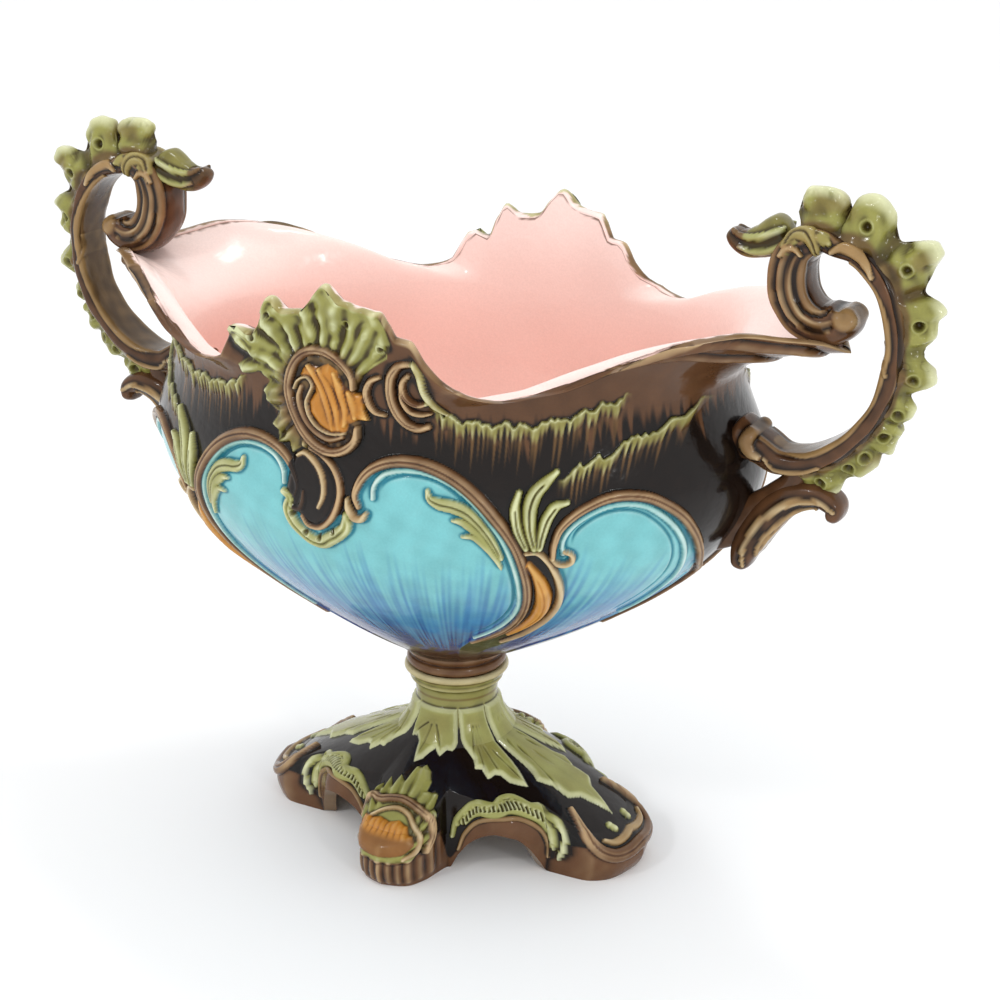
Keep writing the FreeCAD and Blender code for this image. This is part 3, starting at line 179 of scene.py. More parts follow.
# ------------------------------------------------------------ meshes

def mesh_piece(name, grids, material, nodes=()):
    """One piece from grids of (points, normals, colours, wrap, caps): a quad for each cell, the
    last column joined to the first where the grid wraps, and a fan closing each capped end."""
    places, normals, colours, quads, fans, first = [], [], [], [], [], 0
    for points, outward, colour, wrap, caps in grids:
        rows, columns = points.shape[:2]
        index = first + np.arange(rows * columns).reshape(rows, columns)
        right = np.roll(index, -1, 1) if wrap else index[:, 1:]
        left = index if wrap else index[:, :-1]
        quads.append(np.stack([left[:-1], right[:-1], right[1:], left[1:]], -1).reshape(-1, 4))
        places.append(points.reshape(-1, 3))
        normals.append(outward.reshape(-1, 3))
        colours.append(colour.reshape(-1, 3))
        first += rows * columns
        for row, flip in ((0, True), (rows - 1, False)):
            if row in [c % rows for c in caps]:
                a, b = left[row], right[row]
                hub = np.full_like(a, first)
                fans.append(np.stack([hub, a, b] if not flip else [hub, b, a], -1))
                places.append(points[row].mean(0)[None])
                way = outward[row].mean(0)
                normals.append((way / max(np.linalg.norm(way), 1e-9))[None])
                colours.append(colour[row].mean(0)[None])
                first += 1
    places, normals = np.concatenate(places) * MM, np.concatenate(normals)
    quads = np.concatenate(quads)
    fans = np.concatenate(fans) if fans else np.zeros((0, 3), int)
    corners = np.r_[quads.ravel(), fans.ravel()]
    starts = np.r_[np.arange(len(quads)) * 4, len(quads) * 4 + np.arange(len(fans)) * 3]
    mesh = bpy.data.meshes.new(name)
    mesh.vertices.add(len(places))
    mesh.vertices.foreach_set("co", places.astype(np.float32).ravel())
    mesh.loops.add(len(corners))
    mesh.loops.foreach_set("vertex_index", corners.astype(np.int32))
    mesh.polygons.add(len(starts))
    mesh.polygons.foreach_set("loop_start", starts.astype(np.int32))
    mesh.update(calc_edges=True)
    layer = mesh.color_attributes.new("glaze", "FLOAT_COLOR", "POINT")
    glaze = np.concatenate([np.concatenate(colours), np.ones((len(places), 1))], 1)
    layer.data.foreach_set("color", glaze.astype(np.float32).ravel())
    mesh.polygons.foreach_set("use_smooth", np.ones(len(starts), bool))
    mesh.normals_split_custom_set_from_vertices(normals.astype(np.float32))
    mesh.materials.append(material)
    piece = bpy.data.objects.new(name, mesh)
    bpy.context.scene.collection.objects.link(piece)
    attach(piece, "root")
    if nodes:
        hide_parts(*nodes)
    return piece


class Skin:
    """A grid of places on a pot's surface, with a relief height and a glaze at each one.
    Ornament is laid on it along lines and inside outlines, which are given in the two numbers
    that place() turns into points."""

    def __init__(self, points, flat, place, glaze, wrap=False, spots=None):
        self.points, self.place, self.wrap = points, place, wrap
        self.flat = flat.reshape(-1, 2)
        self.normals = grid_normals(points, wrap)
        self.spots = (points if spots is None else spots).reshape(-1, 3)
        self.height = np.zeros(points.shape[0] * points.shape[1])
        self.glaze = np.repeat(glaze[None], len(self.height), 0)
        self.share = np.ones(len(self.height))

    def line(self, route, closed=False):
        """A smooth line of points on the surface along a route."""
        route = [tuple(p[:2]) for p in route]
        if closed:
            route = route + route[:1]
        placed = self.place(*np.array(route, float).T)
        length = np.linalg.norm(np.diff(placed, axis=0), axis=1).sum()
        return along(placed, max(8, int(length / 1.3)))

    def near(self, line, reach):
        """Places within reach of a line: their indices, distance with its side, share along."""
        low, high = line.min(0) - reach, line.max(0) + reach
        index = np.nonzero(np.all((self.spots > low) & (self.spots < high), -1))[0]
        p = self.spots[index]
        best = np.full(len(p), 1e9)
        share, across = np.zeros(len(p)), np.zeros((len(p), 3))
        tangent = np.zeros((len(p), 3))
        for first in range(0, len(line) - 1, 6):
            some = line[first:first + 7]
            low, high = some.min(0) - reach, some.max(0) + reach
            here = np.nonzero(np.all((p > low) & (p < high), -1))[0]
            q = p[here]
            for i, (a, b) in enumerate(zip(some[:-1], some[1:])):
                way = b - a
                u = clamp01(((q - a) @ way) / max(way @ way, 1e-12))
                off = q - a - u[:, None] * way
                far = np.einsum("ij,ij->i", off, off)
                nearer = far < best[here]
                there = here[nearer]
                best[there] = far[nearer]
                share[there] = (first + i + u[nearer]) / (len(line) - 1)
                across[there] = off[nearer]
                tangent[there] = way
        best = np.sqrt(best)
        keep = best < reach
        normals = self.normals.reshape(-1, 3)[index]
        side = np.sign(np.einsum("ij,ij->i", np.cross(tangent, across), normals))
        side[side == 0] = 1.0
        return index[keep], (best * side)[keep], share[keep]

    def tint(self, index, weight, glaze):
        """Blends a glaze into the one that is there, by a weight from 0 to 1."""
        weight = clamp01(weight)[:, None, None]
        self.glaze[index] = blend(self.glaze[index], glaze, weight)

    def wash(self, weight, glaze):
        """Tints every place of the skin."""
        self.tint(slice(None), weight, glaze)

    def in_rows(self, field):
        """The same values, one for each place, seen as rows and columns."""
        return field.reshape(self.points.shape[:2] + field.shape[1:])

    def rib(self, route, widths, rises, glaze=None, over=0.0, round_=0.6):
        """A ridge along a route: its height beside the line is rise times
        (1 - (distance / half width) squared) to the power round_, over a base height."""
        line = route if isinstance(route, np.ndarray) else self.line(route)
        widths, rises = np.atleast_1d(widths), np.atleast_1d(rises)
        index, across, share = self.near(line, 0.5 * widths.max() + 0.5)
        half = 0.5 * np.interp(share, np.linspace(0, 1, len(widths)), widths)
        rise = np.interp(share, np.linspace(0, 1, len(rises)), rises)
        off = np.abs(across) / np.maximum(half, 1e-6)
        body = clamp01(1.0 - off * off) ** round_
        inside = off < 1.0
        lifted = over + rise * body
        self.height[index] = np.where(inside, np.maximum(self.height[index], lifted),
                                      self.height[index])
        if glaze is not None:
            self.tint(index, smooth((1.08 - off) / 0.22), glaze)

    def groove(self, route, width, depth, glaze=None, strength=0.8):
        """A furrow along a route, with its glaze pooled and painted shade in it: as deep as depth
        times (1 - (distance / half width) squared) to the power 1.5, and less deep at its ends."""
        line = route if isinstance(route, np.ndarray) else self.line(route)
        index, across, share = self.near(line, width)
        fade = smooth(np.minimum(share, 1.0 - share) * 12.0)
        off = np.abs(across) / (0.5 * width)
        cut = clamp01(1.0 - off * off) ** 1.5 * fade
        self.height[index] -= depth * cut
        # painted shade, along with the pooled glaze: the furrow is tinted with the given dark
        if glaze is not None:
            self.tint(index, strength * cut, glaze)

    def inside(self, outline, reach=0.0):
        """Places inside an outline and within reach of it: indices and how far inside."""
        closed = np.array(list(outline) + [outline[0]], float)
        placed = self.place(*closed.T)
        step = np.linalg.norm(np.diff(placed, axis=0), axis=1)
        steps = np.maximum((step / 2.0).astype(int), 1)
        line = np.concatenate([np.linspace(a, b, n, endpoint=False) for a, b, n in
                               zip(closed[:-1], closed[1:], steps)] + [closed[-1:]])
        route = self.place(*line.T)
        margin = reach + 12.0
        low, high = route.min(0) - margin, route.max(0) + margin
        index = np.nonzero(np.all((self.spots > low) & (self.spots < high), -1))[0]
        u, v = self.flat[index].T
        within = np.zeros(len(index), bool)
        for (ua, va), (ub, vb) in zip(closed[:-1], closed[1:]):
            if va != vb:
                crosses = ((va > v) != (vb > v)) & (u < (ub - ua) * (v - va) / (vb - va) + ua)
                within ^= crosses
        p = self.spots[index]
        best = np.full(len(p), 1e9)
        for a, b in zip(route[:-1], route[1:]):
            way = b - a
            t = clamp01(((p - a) @ way) / max(way @ way, 1e-12))
            off = p - a - t[:, None] * way
            best = np.minimum(best, np.einsum("ij,ij->i", off, off))
        depth = np.where(within, 1.0, -1.0) * np.sqrt(best)
        keep = depth > -reach
        return index[keep], depth[keep]

    def patch(self, outline, rise, shoulder, glaze=None, over=0.0):
        """A raised field inside an outline: it rises by the sine of a quarter turn over its
        shoulder, and is level from there on."""
        index, depth = self.inside(outline)
        lift = over + rise * np.sin(0.5 * math.pi * clamp01(depth / shoulder))
        self.height[index] = np.maximum(self.height[index], lift)
        if glaze is not None:
            self.tint(index, smooth(depth / 0.6 + 0.3), glaze)
        return index, depth

    def dimple(self, centre, radius, depth, glaze=None):
        """A round pit, which falls smoothly from its edge in, with a bell-shaped lip."""
        middle = self.place(*np.array([centre], float).T)[0]
        far = np.linalg.norm(self.spots - middle, axis=1) / radius
        index = np.nonzero(far < 1.8)[0]
        off = far[index]
        self.height[index] += depth * (0.25 * np.exp(-((off - 1.15) / 0.25) ** 2)
                                       - smooth(1.15 - off))
        # painted shade, along with the pooled glaze: the pit is tinted with the given dark
        if glaze is not None:
            self.tint(index, smooth(1.3 - off) * 0.85, glaze)

    def fired_and_shaded(self, rounds, strength=0.85, rest=0.0):
        """The raised points, their normals and the glaze colour. A place that stands out from
        its surroundings, softened by that many rounds, takes the glaze's pale colour, the glaze
        thinning there plus a painted highlight, and one that lies in takes the dark, the glaze
        pooling there plus painted shade: fully where it does so by strength, counted from rest."""
        height = self.in_rows(self.height * self.share)
        raised = self.points + self.normals * height[..., None]
        normals = grid_normals(raised, self.wrap)
        away = raised - softened(raised, rounds, (False, self.wrap))
        bend = np.einsum("rck,rck->rc", away, normals) - rest
        bend += 0.05 * ripple(raised, 9.0, 5)
        # painted highlight on what stands out and painted shade in what lies in, along with the
        # glaze thinning and pooling
        up = 0.85 * smooth(bend / strength)[..., None]
        down = smooth(-2.2 * bend / strength)[..., None]
        glaze = self.in_rows(self.glaze)
        colour = blend(glaze[..., 1, :], glaze[..., 2, :], up)
        colour = blend(colour, glaze[..., 0, :], down)
        colour = colour * (1.0 + 0.07 * ripple(raised, 14.0, 8)[..., None])
        return raised, normals, np.clip(colour, 0.0, 1.0)


# ------------------------------------------------------------ the bowl's wall

BASE_Z, BELLY_Z, NECK_Z = 109.0, 234.0, 283.0
BASE_R = 26.0
BELLY = (171.0, 126.0)
NECK = (157.0, 122.0)
RIM = (217.0, 127.0)
RIM_RISE, CREST_RISE = 36.0, 56.0
WALL, LIP = 6.5, 4.5
FLOOR_Z = 122.0
BORE_R = 5.5
CREST_REACH = 66.0
SWELL_POWER = 1.85      # of the height left to the belly, as the wall swells
TIP_POWER = 1.7         # of the rim's plan, which draws its ends out to tips
FLARE_LEAN = 1.02       # how far out each meridian leans as it leaves the neck
FLARE_KNEE = 0.72       # share of the rim's rise at which a meridian turns outward
RIM_WAVE = steady([(0.0, 1.72), (0.09, 1.72), (0.166, 1.64), (0.203, 1.47), (0.24, 1.17),
                   (0.268, 0.83), (0.286, 0.56), (0.304, 0.33), (0.346, 0.24), (0.387, 0.21),
                   (0.43, 0.24), (0.456, 0.28), (0.53, 0.39), (0.58, 0.53), (0.627, 0.67),
                   (0.673, 0.78), (0.737, 0.92), (0.793, 0.986), (0.83, 1.0), (0.903, 0.89),
                   (0.96, 0.78), (1.0, 0.61)])
CREST_TEETH = steady([(-66.0, 0.20), (-60.0, 0.37), (-54.6, 0.52), (-49.0, 0.47),
                      (-43.0, 0.46), (-38.0, 0.64), (-32.6, 0.80), (-24.0, 0.71),
                      (-13.0, 0.73), (-5.0, 0.89), (1.65, 1.0), (10.0, 0.87), (18.0, 0.82),
                      (28.2, 0.79), (33.0, 0.66), (36.0, 0.57), (43.0, 0.55), (50.0, 0.37),
                      (58.0, 0.25), (66.0, 0.20)])


def wall(turn, level, inset=0.0, bottom=BASE_Z):
    """The wall at degrees from the front towards +X. Level 0 is the base, 1 the neck, 2 the
    rim. Up to the neck the plan is an ellipse that swells by a power of the height and is then
    drawn in by a cosine; over it each meridian is a parabola out to the waved rim."""
    turn, level = np.broadcast_arrays(np.asarray(turn, float), np.asarray(level, float))
    c, s = np.sin(np.radians(turn)), -np.cos(np.radians(turn))
    height = blend(bottom, NECK_Z, np.minimum(level, 1.0))
    swell = 1.0 - (1.0 - clamp01((height - BASE_Z) / (BELLY_Z - BASE_Z))) ** SWELL_POWER
    draw = 0.5 - 0.5 * np.cos(math.pi * clamp01((height - BELLY_Z) / (NECK_Z - BELLY_Z)))
    length = blend(BASE_R, BELLY[0], swell) + (NECK[0] - BELLY[0]) * draw - inset
    width = blend(BASE_R, BELLY[1], swell) + (NECK[1] - BELLY[1]) * draw - inset
    body = np.stack([length * c, width * s, height], -1)
    rim_inset = inset * LIP / WALL
    rise = RIM_WAVE(np.abs(c)) * RIM_RISE
    rim = np.stack([(RIM[0] - 2 * rim_inset) * c,
                    (RIM[1] - rim_inset) * np.abs(s) ** TIP_POWER * np.sign(s),
                    NECK_Z + rise], -1)
    start = np.stack([length * c, width * s, np.full_like(c, NECK_Z)], -1)
    middle = start * np.array([FLARE_LEAN, 1.0, 1.0])
    middle[..., 2] = NECK_Z + FLARE_KNEE * rise + inset * np.abs(c)
    u = np.maximum(level - 1.0, 0.0)[..., None]
    flare = start * (1 - u) ** 2 + middle * (2 * u * (1 - u)) + rim * (u * u)
    return np.where((level > 1.0)[..., None], flare, body)


def level_at(turn, z):
    """The level at which the wall's meridian at that turn has that height."""
    low = np.zeros_like(turn)
    return halving(lambda level: wall(turn, level)[..., 2] < z, low, low + 2.0)


def top_level(turn):
    """Level of the rim's edge, which the teeth of the crest cut back."""
    def under(level):
        p = wall(turn, level)
        teeth = NECK_Z + CREST_RISE * CREST_TEETH(p[..., 0])
        return (p[..., 2] < teeth) | (np.abs(p[..., 0]) > CREST_REACH)
    return halving(under, np.ones_like(turn), np.full_like(turn, 2.0))


def on_front(x, z):
    """The place on the front wall at that x and height."""
    x, z = np.asarray(x, float), np.asarray(z, float)
    low = np.full_like(x, -90.0)
    turn = halving(lambda t: wall(t, level_at(t, z))[..., 0] < x, low, -low, 24)
    return wall(turn, level_at(turn, z))


def mirrored(route, way):
    """The same route on the other side where way is -1."""
    return [(way * p[0],) + tuple(p[1:]) for p in route]


# lines on the wall, in mm across from the middle and up
FRAME = [(17.9, 233.2), (16.1, 237.7), (18.3, 245.2), (23.5, 251.9), (30.4, 256.0), (38.6, 258.1),
         (47.5, 258.1), (57.1, 255.6), (65.7, 251.4), (72.4, 246.5), (78.4, 240.6), (83.4, 234.4),
         (88.1, 227.4), (91.4, 219.4), (92.8, 207.4), (91.7, 195.4), (87.9, 183.7), (80.8, 171.7),
         (70.1, 160.1), (57.1, 150.5), (44.0, 143.0)]
FRAME_EDGE = [(25.2, 238.2), (25.7, 244.0), (30.0, 250.2), (36.9, 253.3), (45.7, 254.3),
              (55.8, 252.6), (64.0, 249.0), (70.8, 244.0), (76.6, 238.0), (82.0, 230.5),
              (86.2, 222.5), (88.4, 213.0), (88.8, 203.7), (87.2, 191.6), (82.0, 177.9),
              (72.0, 165.5), (59.4, 155.2), (48.0, 148.0)]
FRAME_GROOVE = [(27.8, 241.0), (31.4, 247.0), (37.6, 250.4), (45.9, 251.4), (55.4, 250.0),
                (63.3, 246.0), (69.4, 241.0), (75.2, 235.0), (79.8, 228.0), (83.4, 220.0),
                (85.6, 211.0), (86.1, 203.0), (84.4, 190.5), (79.0, 177.5), (69.6, 166.2),
                (57.0, 156.0), (47.0, 150.5)]
TIP_CURL = [(12.2, 236.5), (12.8, 231.5), (15.4, 227.4), (19.3, 227.4), (21.7, 230.3)]
CORNER_LEAF = [(52.6, 245.2), (53.7, 241.5), (57.8, 239.4), (64.6, 238.3), (70.9, 235.8),
               (75.5, 231.6), (79.6, 225.8), (82.5, 219.0), (84.4, 211.6)]
CORNER_LOBES = [
    [(64.3, 231.5), (69.5, 230.7), (74.5, 227.2), (78.7, 220.4), (82.0, 212.9)],
    [(68.4, 223.2), (73.6, 223.4), (78.5, 218.6), (81.9, 211.7), (83.2, 205.6)]]
BIG_PANEL = [(0.0, 226.0), (17.0, 229.0), (16.5, 238.0), (19.0, 246.0), (24.5, 252.0),
             (31.0, 255.5), (38.6, 257.5), (47.5, 257.5), (57.1, 255.0), (65.7, 250.8),
             (72.4, 246.0), (78.4, 240.0), (83.4, 233.9), (88.1, 226.9), (91.4, 219.0),
             (92.6, 207.4), (91.5, 195.4), (87.7, 183.7), (80.6, 171.9), (69.9, 160.4),
             (56.9, 150.8), (44.0, 143.5), (33.0, 134.0), (24.0, 122.0), (18.0, 113.0),
             (0.0, 110.5)]
END_FRAME = [(106.2, 212.8), (108.1, 221.1), (111.0, 228.6), (116.2, 234.8), (122.9, 239.8),
             (129.4, 242.7), (136.5, 243.1), (143.5, 241.1), (149.7, 236.4), (154.9, 229.3),
             (157.2, 219.9), (156.3, 207.8), (151.4, 195.0), (144.0, 184.0), (134.2, 174.6),
             (125.0, 167.4), (114.0, 160.0), (100.0, 152.0)]
END_EDGE = [(110.6, 213.5), (111.4, 221.5), (115.2, 228.6), (121.2, 234.4), (129.0, 238.6),
            (136.4, 239.2), (142.6, 237.2), (148.2, 231.6), (152.2, 223.6), (153.3, 212.8),
            (150.2, 201.0), (143.2, 189.0), (133.0, 178.0), (122.5, 168.9), (112.0, 161.8)]
END_GROOVE = [(114.0, 217.0), (117.0, 225.5), (122.5, 231.4), (129.4, 235.4), (136.2, 236.0),
              (141.6, 234.0), (146.2, 229.0), (149.4, 222.0), (150.2, 212.6), (147.6, 202.4),
              (141.0, 191.0), (131.4, 180.6), (121.0, 171.8), (110.6, 164.2)]
END_CURL = [(105.6, 212.6), (107.4, 209.0), (110.6, 208.4), (113.6, 210.4), (114.0, 214.2),
            (111.4, 216.2)]
END_PANEL = [(107.0, 212.0), (108.6, 221.1), (111.5, 228.3), (116.6, 234.4), (123.1, 239.3),
             (129.5, 242.2), (136.4, 242.6), (143.2, 240.7), (149.3, 236.1), (154.5, 229.0),
             (156.8, 219.9), (155.9, 207.9), (151.0, 195.2), (143.6, 184.3), (133.9, 175.0),
             (124.6, 167.8), (113.7, 160.5), (100.0, 152.5), (80.0, 141.5), (60.0, 131.0),
             (44.0, 121.0), (34.0, 112.0), (24.0, 110.6), (33.0, 124.0), (45.0, 133.5),
             (58.0, 141.0), (71.0, 150.0), (84.0, 161.0), (94.0, 172.0), (101.0, 183.0),
             (105.5, 195.0), (107.0, 205.0)]
FINGERS = [
    ([(93.7, 246.5), (92.4, 239.4), (93.2, 230.7), (96.0, 219.0)], [3.2, 5.5, 5.6, 4.0]),
    ([(108.1, 256.0), (104.3, 251.4), (100.4, 246.0), (98.6, 239.5), (98.5, 231.0),
      (99.5, 219.0)], [3.2, 6.2, 7.6, 7.4, 6.4, 4.5]),
    ([(113.7, 241.6), (109.5, 240.2), (106.2, 235.0), (103.7, 227.6), (101.6, 219.0)],
     [3.0, 5.6, 6.0, 5.6, 4.0])]
HOOK = [(95.6, 216.1), (99.6, 216.6), (103.4, 212.0), (105.4, 203.7), (104.8, 193.7),
        (100.8, 182.9), (93.5, 172.5), (83.0, 162.0), (70.9, 152.3), (58.0, 144.5)]
DROP = [(95.6, 209.0), (97.4, 202.5), (97.6, 193.5), (94.6, 183.0), (88.0, 172.6), (77.0, 161.6),
        (66.0, 153.0)]
UPPER_RUFFLE = [(52.3, 287.8), (56.0, 284.3), (62.1, 281.8), (68.4, 279.7), (74.8, 278.8),
                (80.7, 279.2), (86.5, 279.4), (92.4, 278.5), (98.0, 278.4), (103.9, 279.9),
                (110.6, 282.0), (117.3, 284.6), (124.5, 287.6), (132.0, 290.6)]
LOWER_RUFFLE = [(109.9, 253.5), (113.2, 255.6), (116.8, 258.9), (121.9, 261.4), (126.9, 262.7),
                (130.1, 266.0), (133.5, 268.5), (137.0, 269.4), (140.1, 271.0), (142.6, 272.6),
                (145.1, 274.3), (147.6, 275.0), (149.3, 276.8), (151.4, 278.8), (154.0, 281.0)]
# the cartouche
SHELL = [(-60.0, 311.0), (-56.0, 313.0), (-52.4, 318.3), (-43.8, 314.8), (-37.8, 316.7),
         (-37.6, 326.5), (-32.9, 333.2), (-24.6, 331.6), (-13.5, 328.2), (-3.8, 341.1),
         (-0.3, 345.2), (6.5, 338.3), (15.0, 332.6), (26.4, 331.0), (31.6, 322.9),
         (34.3, 314.8), (31.8, 307.2), (25.0, 302.5), (19.7, 297.6), (17.0, 290.0),
         (18.0, 278.0), (18.5, 268.0), (12.0, 259.0), (0.0, 255.0), (-8.0, 256.0),
         (-14.2, 258.2), (-19.9, 254.2), (-22.5, 258.9), (-29.0, 257.9), (-29.4, 263.4),
         (-33.4, 266.0), (-29.6, 272.7), (-38.0, 277.0), (-38.6, 282.6), (-35.7, 287.1),
         (-41.0, 290.7), (-52.2, 287.6), (-55.4, 292.3), (-46.1, 297.8), (-51.0, 300.2),
         (-55.8, 303.1)]
SHELL_HUB = (-2.0, 284.0)
OVAL = [(15.2, 291.6), (14.7, 297.0), (11.0, 302.1), (5.1, 306.6), (-1.7, 308.4), (-10.0, 306.6),
        (-16.0, 301.3), (-19.9, 293.6), (-21.1, 286.0), (-19.7, 279.3), (-16.3, 272.2),
        (-11.8, 266.0), (-4.8, 260.6), (4.0, 258.5), (11.6, 261.0), (16.2, 266.0), (17.1, 271.8)]
INNER_C = [(-12.9, 289.1), (-14.8, 283.9), (-13.7, 277.6), (-10.2, 271.8), (-4.5, 267.2),
           (2.8, 264.7), (9.8, 266.8)]
INNER_LINE = [(-17.0, 287.5), (-14.9, 291.6), (-8.9, 294.1), (-6.4, 290.8), (-8.3, 286.1),
              (-10.1, 282.0), (-9.3, 276.4), (-4.7, 270.5), (2.8, 267.6), (10.9, 268.6)]
HEART = [(-13.8, 294.5), (-12.0, 298.2), (-8.7, 300.9), (-3.1, 299.7), (2.5, 302.4), (7.3, 299.7),
         (9.1, 294.9), (12.1, 292.1), (15.9, 289.5), (20.3, 288.6), (20.8, 281.3), (23.1, 275.9),
         (17.0, 276.0), (13.0, 273.4), (11.2, 268.1), (4.2, 266.4), (-3.1, 270.1), (-8.8, 276.4),
         (-9.3, 282.6), (-5.5, 287.4), (-7.5, 292.5), (-10.5, 293.7)]
HEART_RIBS = [[(-8.7, 300.0), (-2.0, 292.0), (2.0, 281.0), (4.4, 270.0)],
              [(-2.6, 298.6), (3.0, 290.0), (6.4, 280.0), (7.6, 270.6)],
              [(5.6, 298.0), (9.0, 289.0), (11.4, 281.0), (10.6, 272.6)],
              [(13.0, 289.6), (15.6, 283.0), (16.2, 277.0)]]
SIDE_SCROLLS = [
    ([(28.1, 298.0), (23.8, 295.8), (21.4, 290.2), (22.4, 285.6), (25.9, 280.9), (30.8, 279.7)],
     [2.2, 3.6, 4.0, 3.8, 3.2, 2.0]),
    ([(43.3, 305.8), (38.0, 304.5), (34.5, 300.1), (33.4, 293.6), (34.4, 286.8), (37.2, 280.9),
      (41.6, 276.4), (47.5, 274.6), (51.6, 275.9)], [2.4, 4.6, 5.4, 5.6, 5.6, 5.6, 5.2, 4.6, 3.4]),
    ([(42.8, 300.5), (39.8, 297.1), (40.2, 291.2), (43.5, 287.6), (47.9, 286.5), (51.4, 287.9)],
     [2.0, 3.2, 3.6, 3.4, 2.8, 2.0]),
    ([(38.4, 295.6), (39.4, 288.1), (43.0, 283.0), (48.5, 281.6), (53.0, 282.6)],
     [2.0, 2.6, 3.0, 2.8, 1.8])]
SIDE_LEAF = [(45.4, 305.9), (48.1, 301.2), (50.2, 292.8), (54.3, 286.5), (60.1, 282.5)]
PENDANT = [(-18.0, 256.0), (-11.0, 258.0), (-5.7, 257.3), (2.0, 253.5), (7.1, 246.9), (8.3, 239.8),
           (6.6, 231.9), (1.8, 224.0), (-5.9, 217.8), (-11.7, 218.6), (-16.0, 222.0),
           (-21.0, 228.0), (-24.0, 236.0), (-22.0, 246.0)]
PENDANT_RIM = [(-9.0, 258.4), (-2.0, 255.8), (4.0, 251.2), (7.6, 244.6), (8.2, 238.0),
               (6.0, 230.6), (1.4, 223.6), (-5.9, 218.6), (-11.7, 219.4), (-14.2, 223.6)]
PENDANT_LEAF = [(-15.8, 254.0), (-12.6, 255.6), (-6.0, 252.4), (-2.0, 247.4), (-0.4, 241.2),
                (-1.0, 235.4), (-3.8, 230.0)]
FRILL = [(-25.0, 234.0), (-21.4, 231.9), (-23.4, 225.3), (-21.2, 218.2), (-16.7, 213.6),
         (-12.0, 210.2), (-6.0, 209.4), (-0.4, 212.8), (5.0, 216.4), (9.6, 221.1), (11.4, 227.4)]


LIP_ROWS = 9
LIP_ROUND = 0.8         # how high the lip's roll stands, as a share of half its width
TO_NECK = 0.74          # share of the wall's rows that lie below the neck


def front_wall(columns, rows):
    """The outer wall of the front half with its rim rolled over to the inner edge: rows go up
    the wall evenly to the edge, round half an ellipse over the lip, and a little way down
    inside. The roll runs by the cosine from edge to edge and by the sine upward."""
    turn = np.linspace(-90.0, 90.0, columns)[None]
    share = np.linspace(0.0, 1.0, rows)[:, None]
    top = top_level(turn)
    over = 1.0 + (share - TO_NECK) / (1.0 - TO_NECK) * (top - 1.0)
    level = np.where(share < TO_NECK, share / TO_NECK, over)
    outer = wall(turn + 0 * level, level)
    edge, inner = outer[-1], wall(turn[0], top[0], WALL)
    middle, half = 0.5 * (edge + inner), 0.5 * (edge - inner)
    reach = np.linalg.norm(half, axis=1, keepdims=True)
    up = outer[-1] - outer[-4]
    across = half / reach
    up -= np.sum(up * across, axis=1, keepdims=True) * across
    up /= np.linalg.norm(up, axis=1, keepdims=True)
    swing = np.linspace(0.0, math.pi, LIP_ROWS + 1)[1:, None, None]
    roll = middle + half * np.cos(swing) + (LIP_ROUND * reach * up) * np.sin(swing)
    inside = [wall(turn[0], top[0] - drop, WALL - 0.35) for drop in (0.03, 0.07)]
    points = np.concatenate([outer, roll, np.array(inside)])
    skin = Skin(points, points[..., [0, 2]], on_front, GROUND)
    # on the lip the relief fades out, and it stands out the way the wall does there
    skin.normals = grid_normals(points, False)
    skin.normals[rows:] = skin.normals[rows - 2]
    skin.normals = in_seam(skin.normals)
    shares = np.ones(points.shape[:2])
    shares[rows:] = np.cos(0.5 * np.linspace(0, math.pi, LIP_ROWS + 2))[:, None] ** 2
    skin.share = shares.ravel()
    skin.outer_rows = rows
    return skin


def carry_over_lip(skin):
    """The lip takes the relief and the glaze of the wall's edge below it, then turns pink."""
    height, glaze = skin.in_rows(skin.height), skin.in_rows(skin.glaze)
    edge = skin.outer_rows - 1
    height[edge + 1:] = height[edge]
    glaze[edge + 1:] = blend(glaze[edge], TAN, 0.35)
    places = skin.points[edge + 1:]
    share = np.linspace(0.0, 1.0, len(places))[:, None]
    start = 0.50 + 0.22 * ripple(places[..., :2], 26.0, 31) + 0.12 * ripple(places[..., :2], 7.0, 32)
    pink = smooth((share - start) / 0.10)
    glaze[edge + 1:] = blend(glaze[edge + 1:], PINK, pink[..., None, None])


def paint_ground(skin):
    """Near-black brown, with brown run down it from the rim."""
    z = skin.flat[:, 1]
    p = skin.spots
    drop = p[:, 2] - NECK_Z
    turn = np.degrees(np.arctan2(p[:, 0], -p[:, 1]))
    runs = 0.5 + 0.5 * ripple(np.stack([turn, 0.02 * z], -1), 1.6, 3)
    reach = 22.0 * runs ** 1.5 * (0.6 + 0.4 * ripple(turn[:, None], 13.0, 4))
    weight = smooth((drop + reach + 6.0) / 9.0)
    skin.wash(0.85 * weight, BROWN)


def paint_panel(skin, outline, seed):
    """Turquoise that runs down through blue into navy, in streaks of uneven length."""
    index, depth = skin.inside(outline)
    p = skin.spots[index]
    turn = np.degrees(np.arctan2(p[:, 0], -p[:, 1]))
    z = p[:, 2]
    fine = ripple(np.stack([turn, 0.02 * z], -1), 1.7, seed, 14)
    broad = ripple(np.stack([turn, 0.02 * z], -1), 9.0, seed + 1)
    fall = (214.0 - z + 11.0 * fine + 9.0 * broad + 0.04 * np.abs(p[:, 0])) / 100.0
    weight = smooth(depth / 0.7)
    # the blues start lower or higher by how far a streak has run
    skin.tint(index, weight, TURQUOISE)
    skin.tint(index, weight * smooth((fall - 0.12) / 0.50), MID_BLUE)
    skin.tint(index, weight * smooth((fall - 0.56) / 0.28), DEEP_BLUE)
    skin.height[index] -= 0.7 * smooth(depth / 2.5)


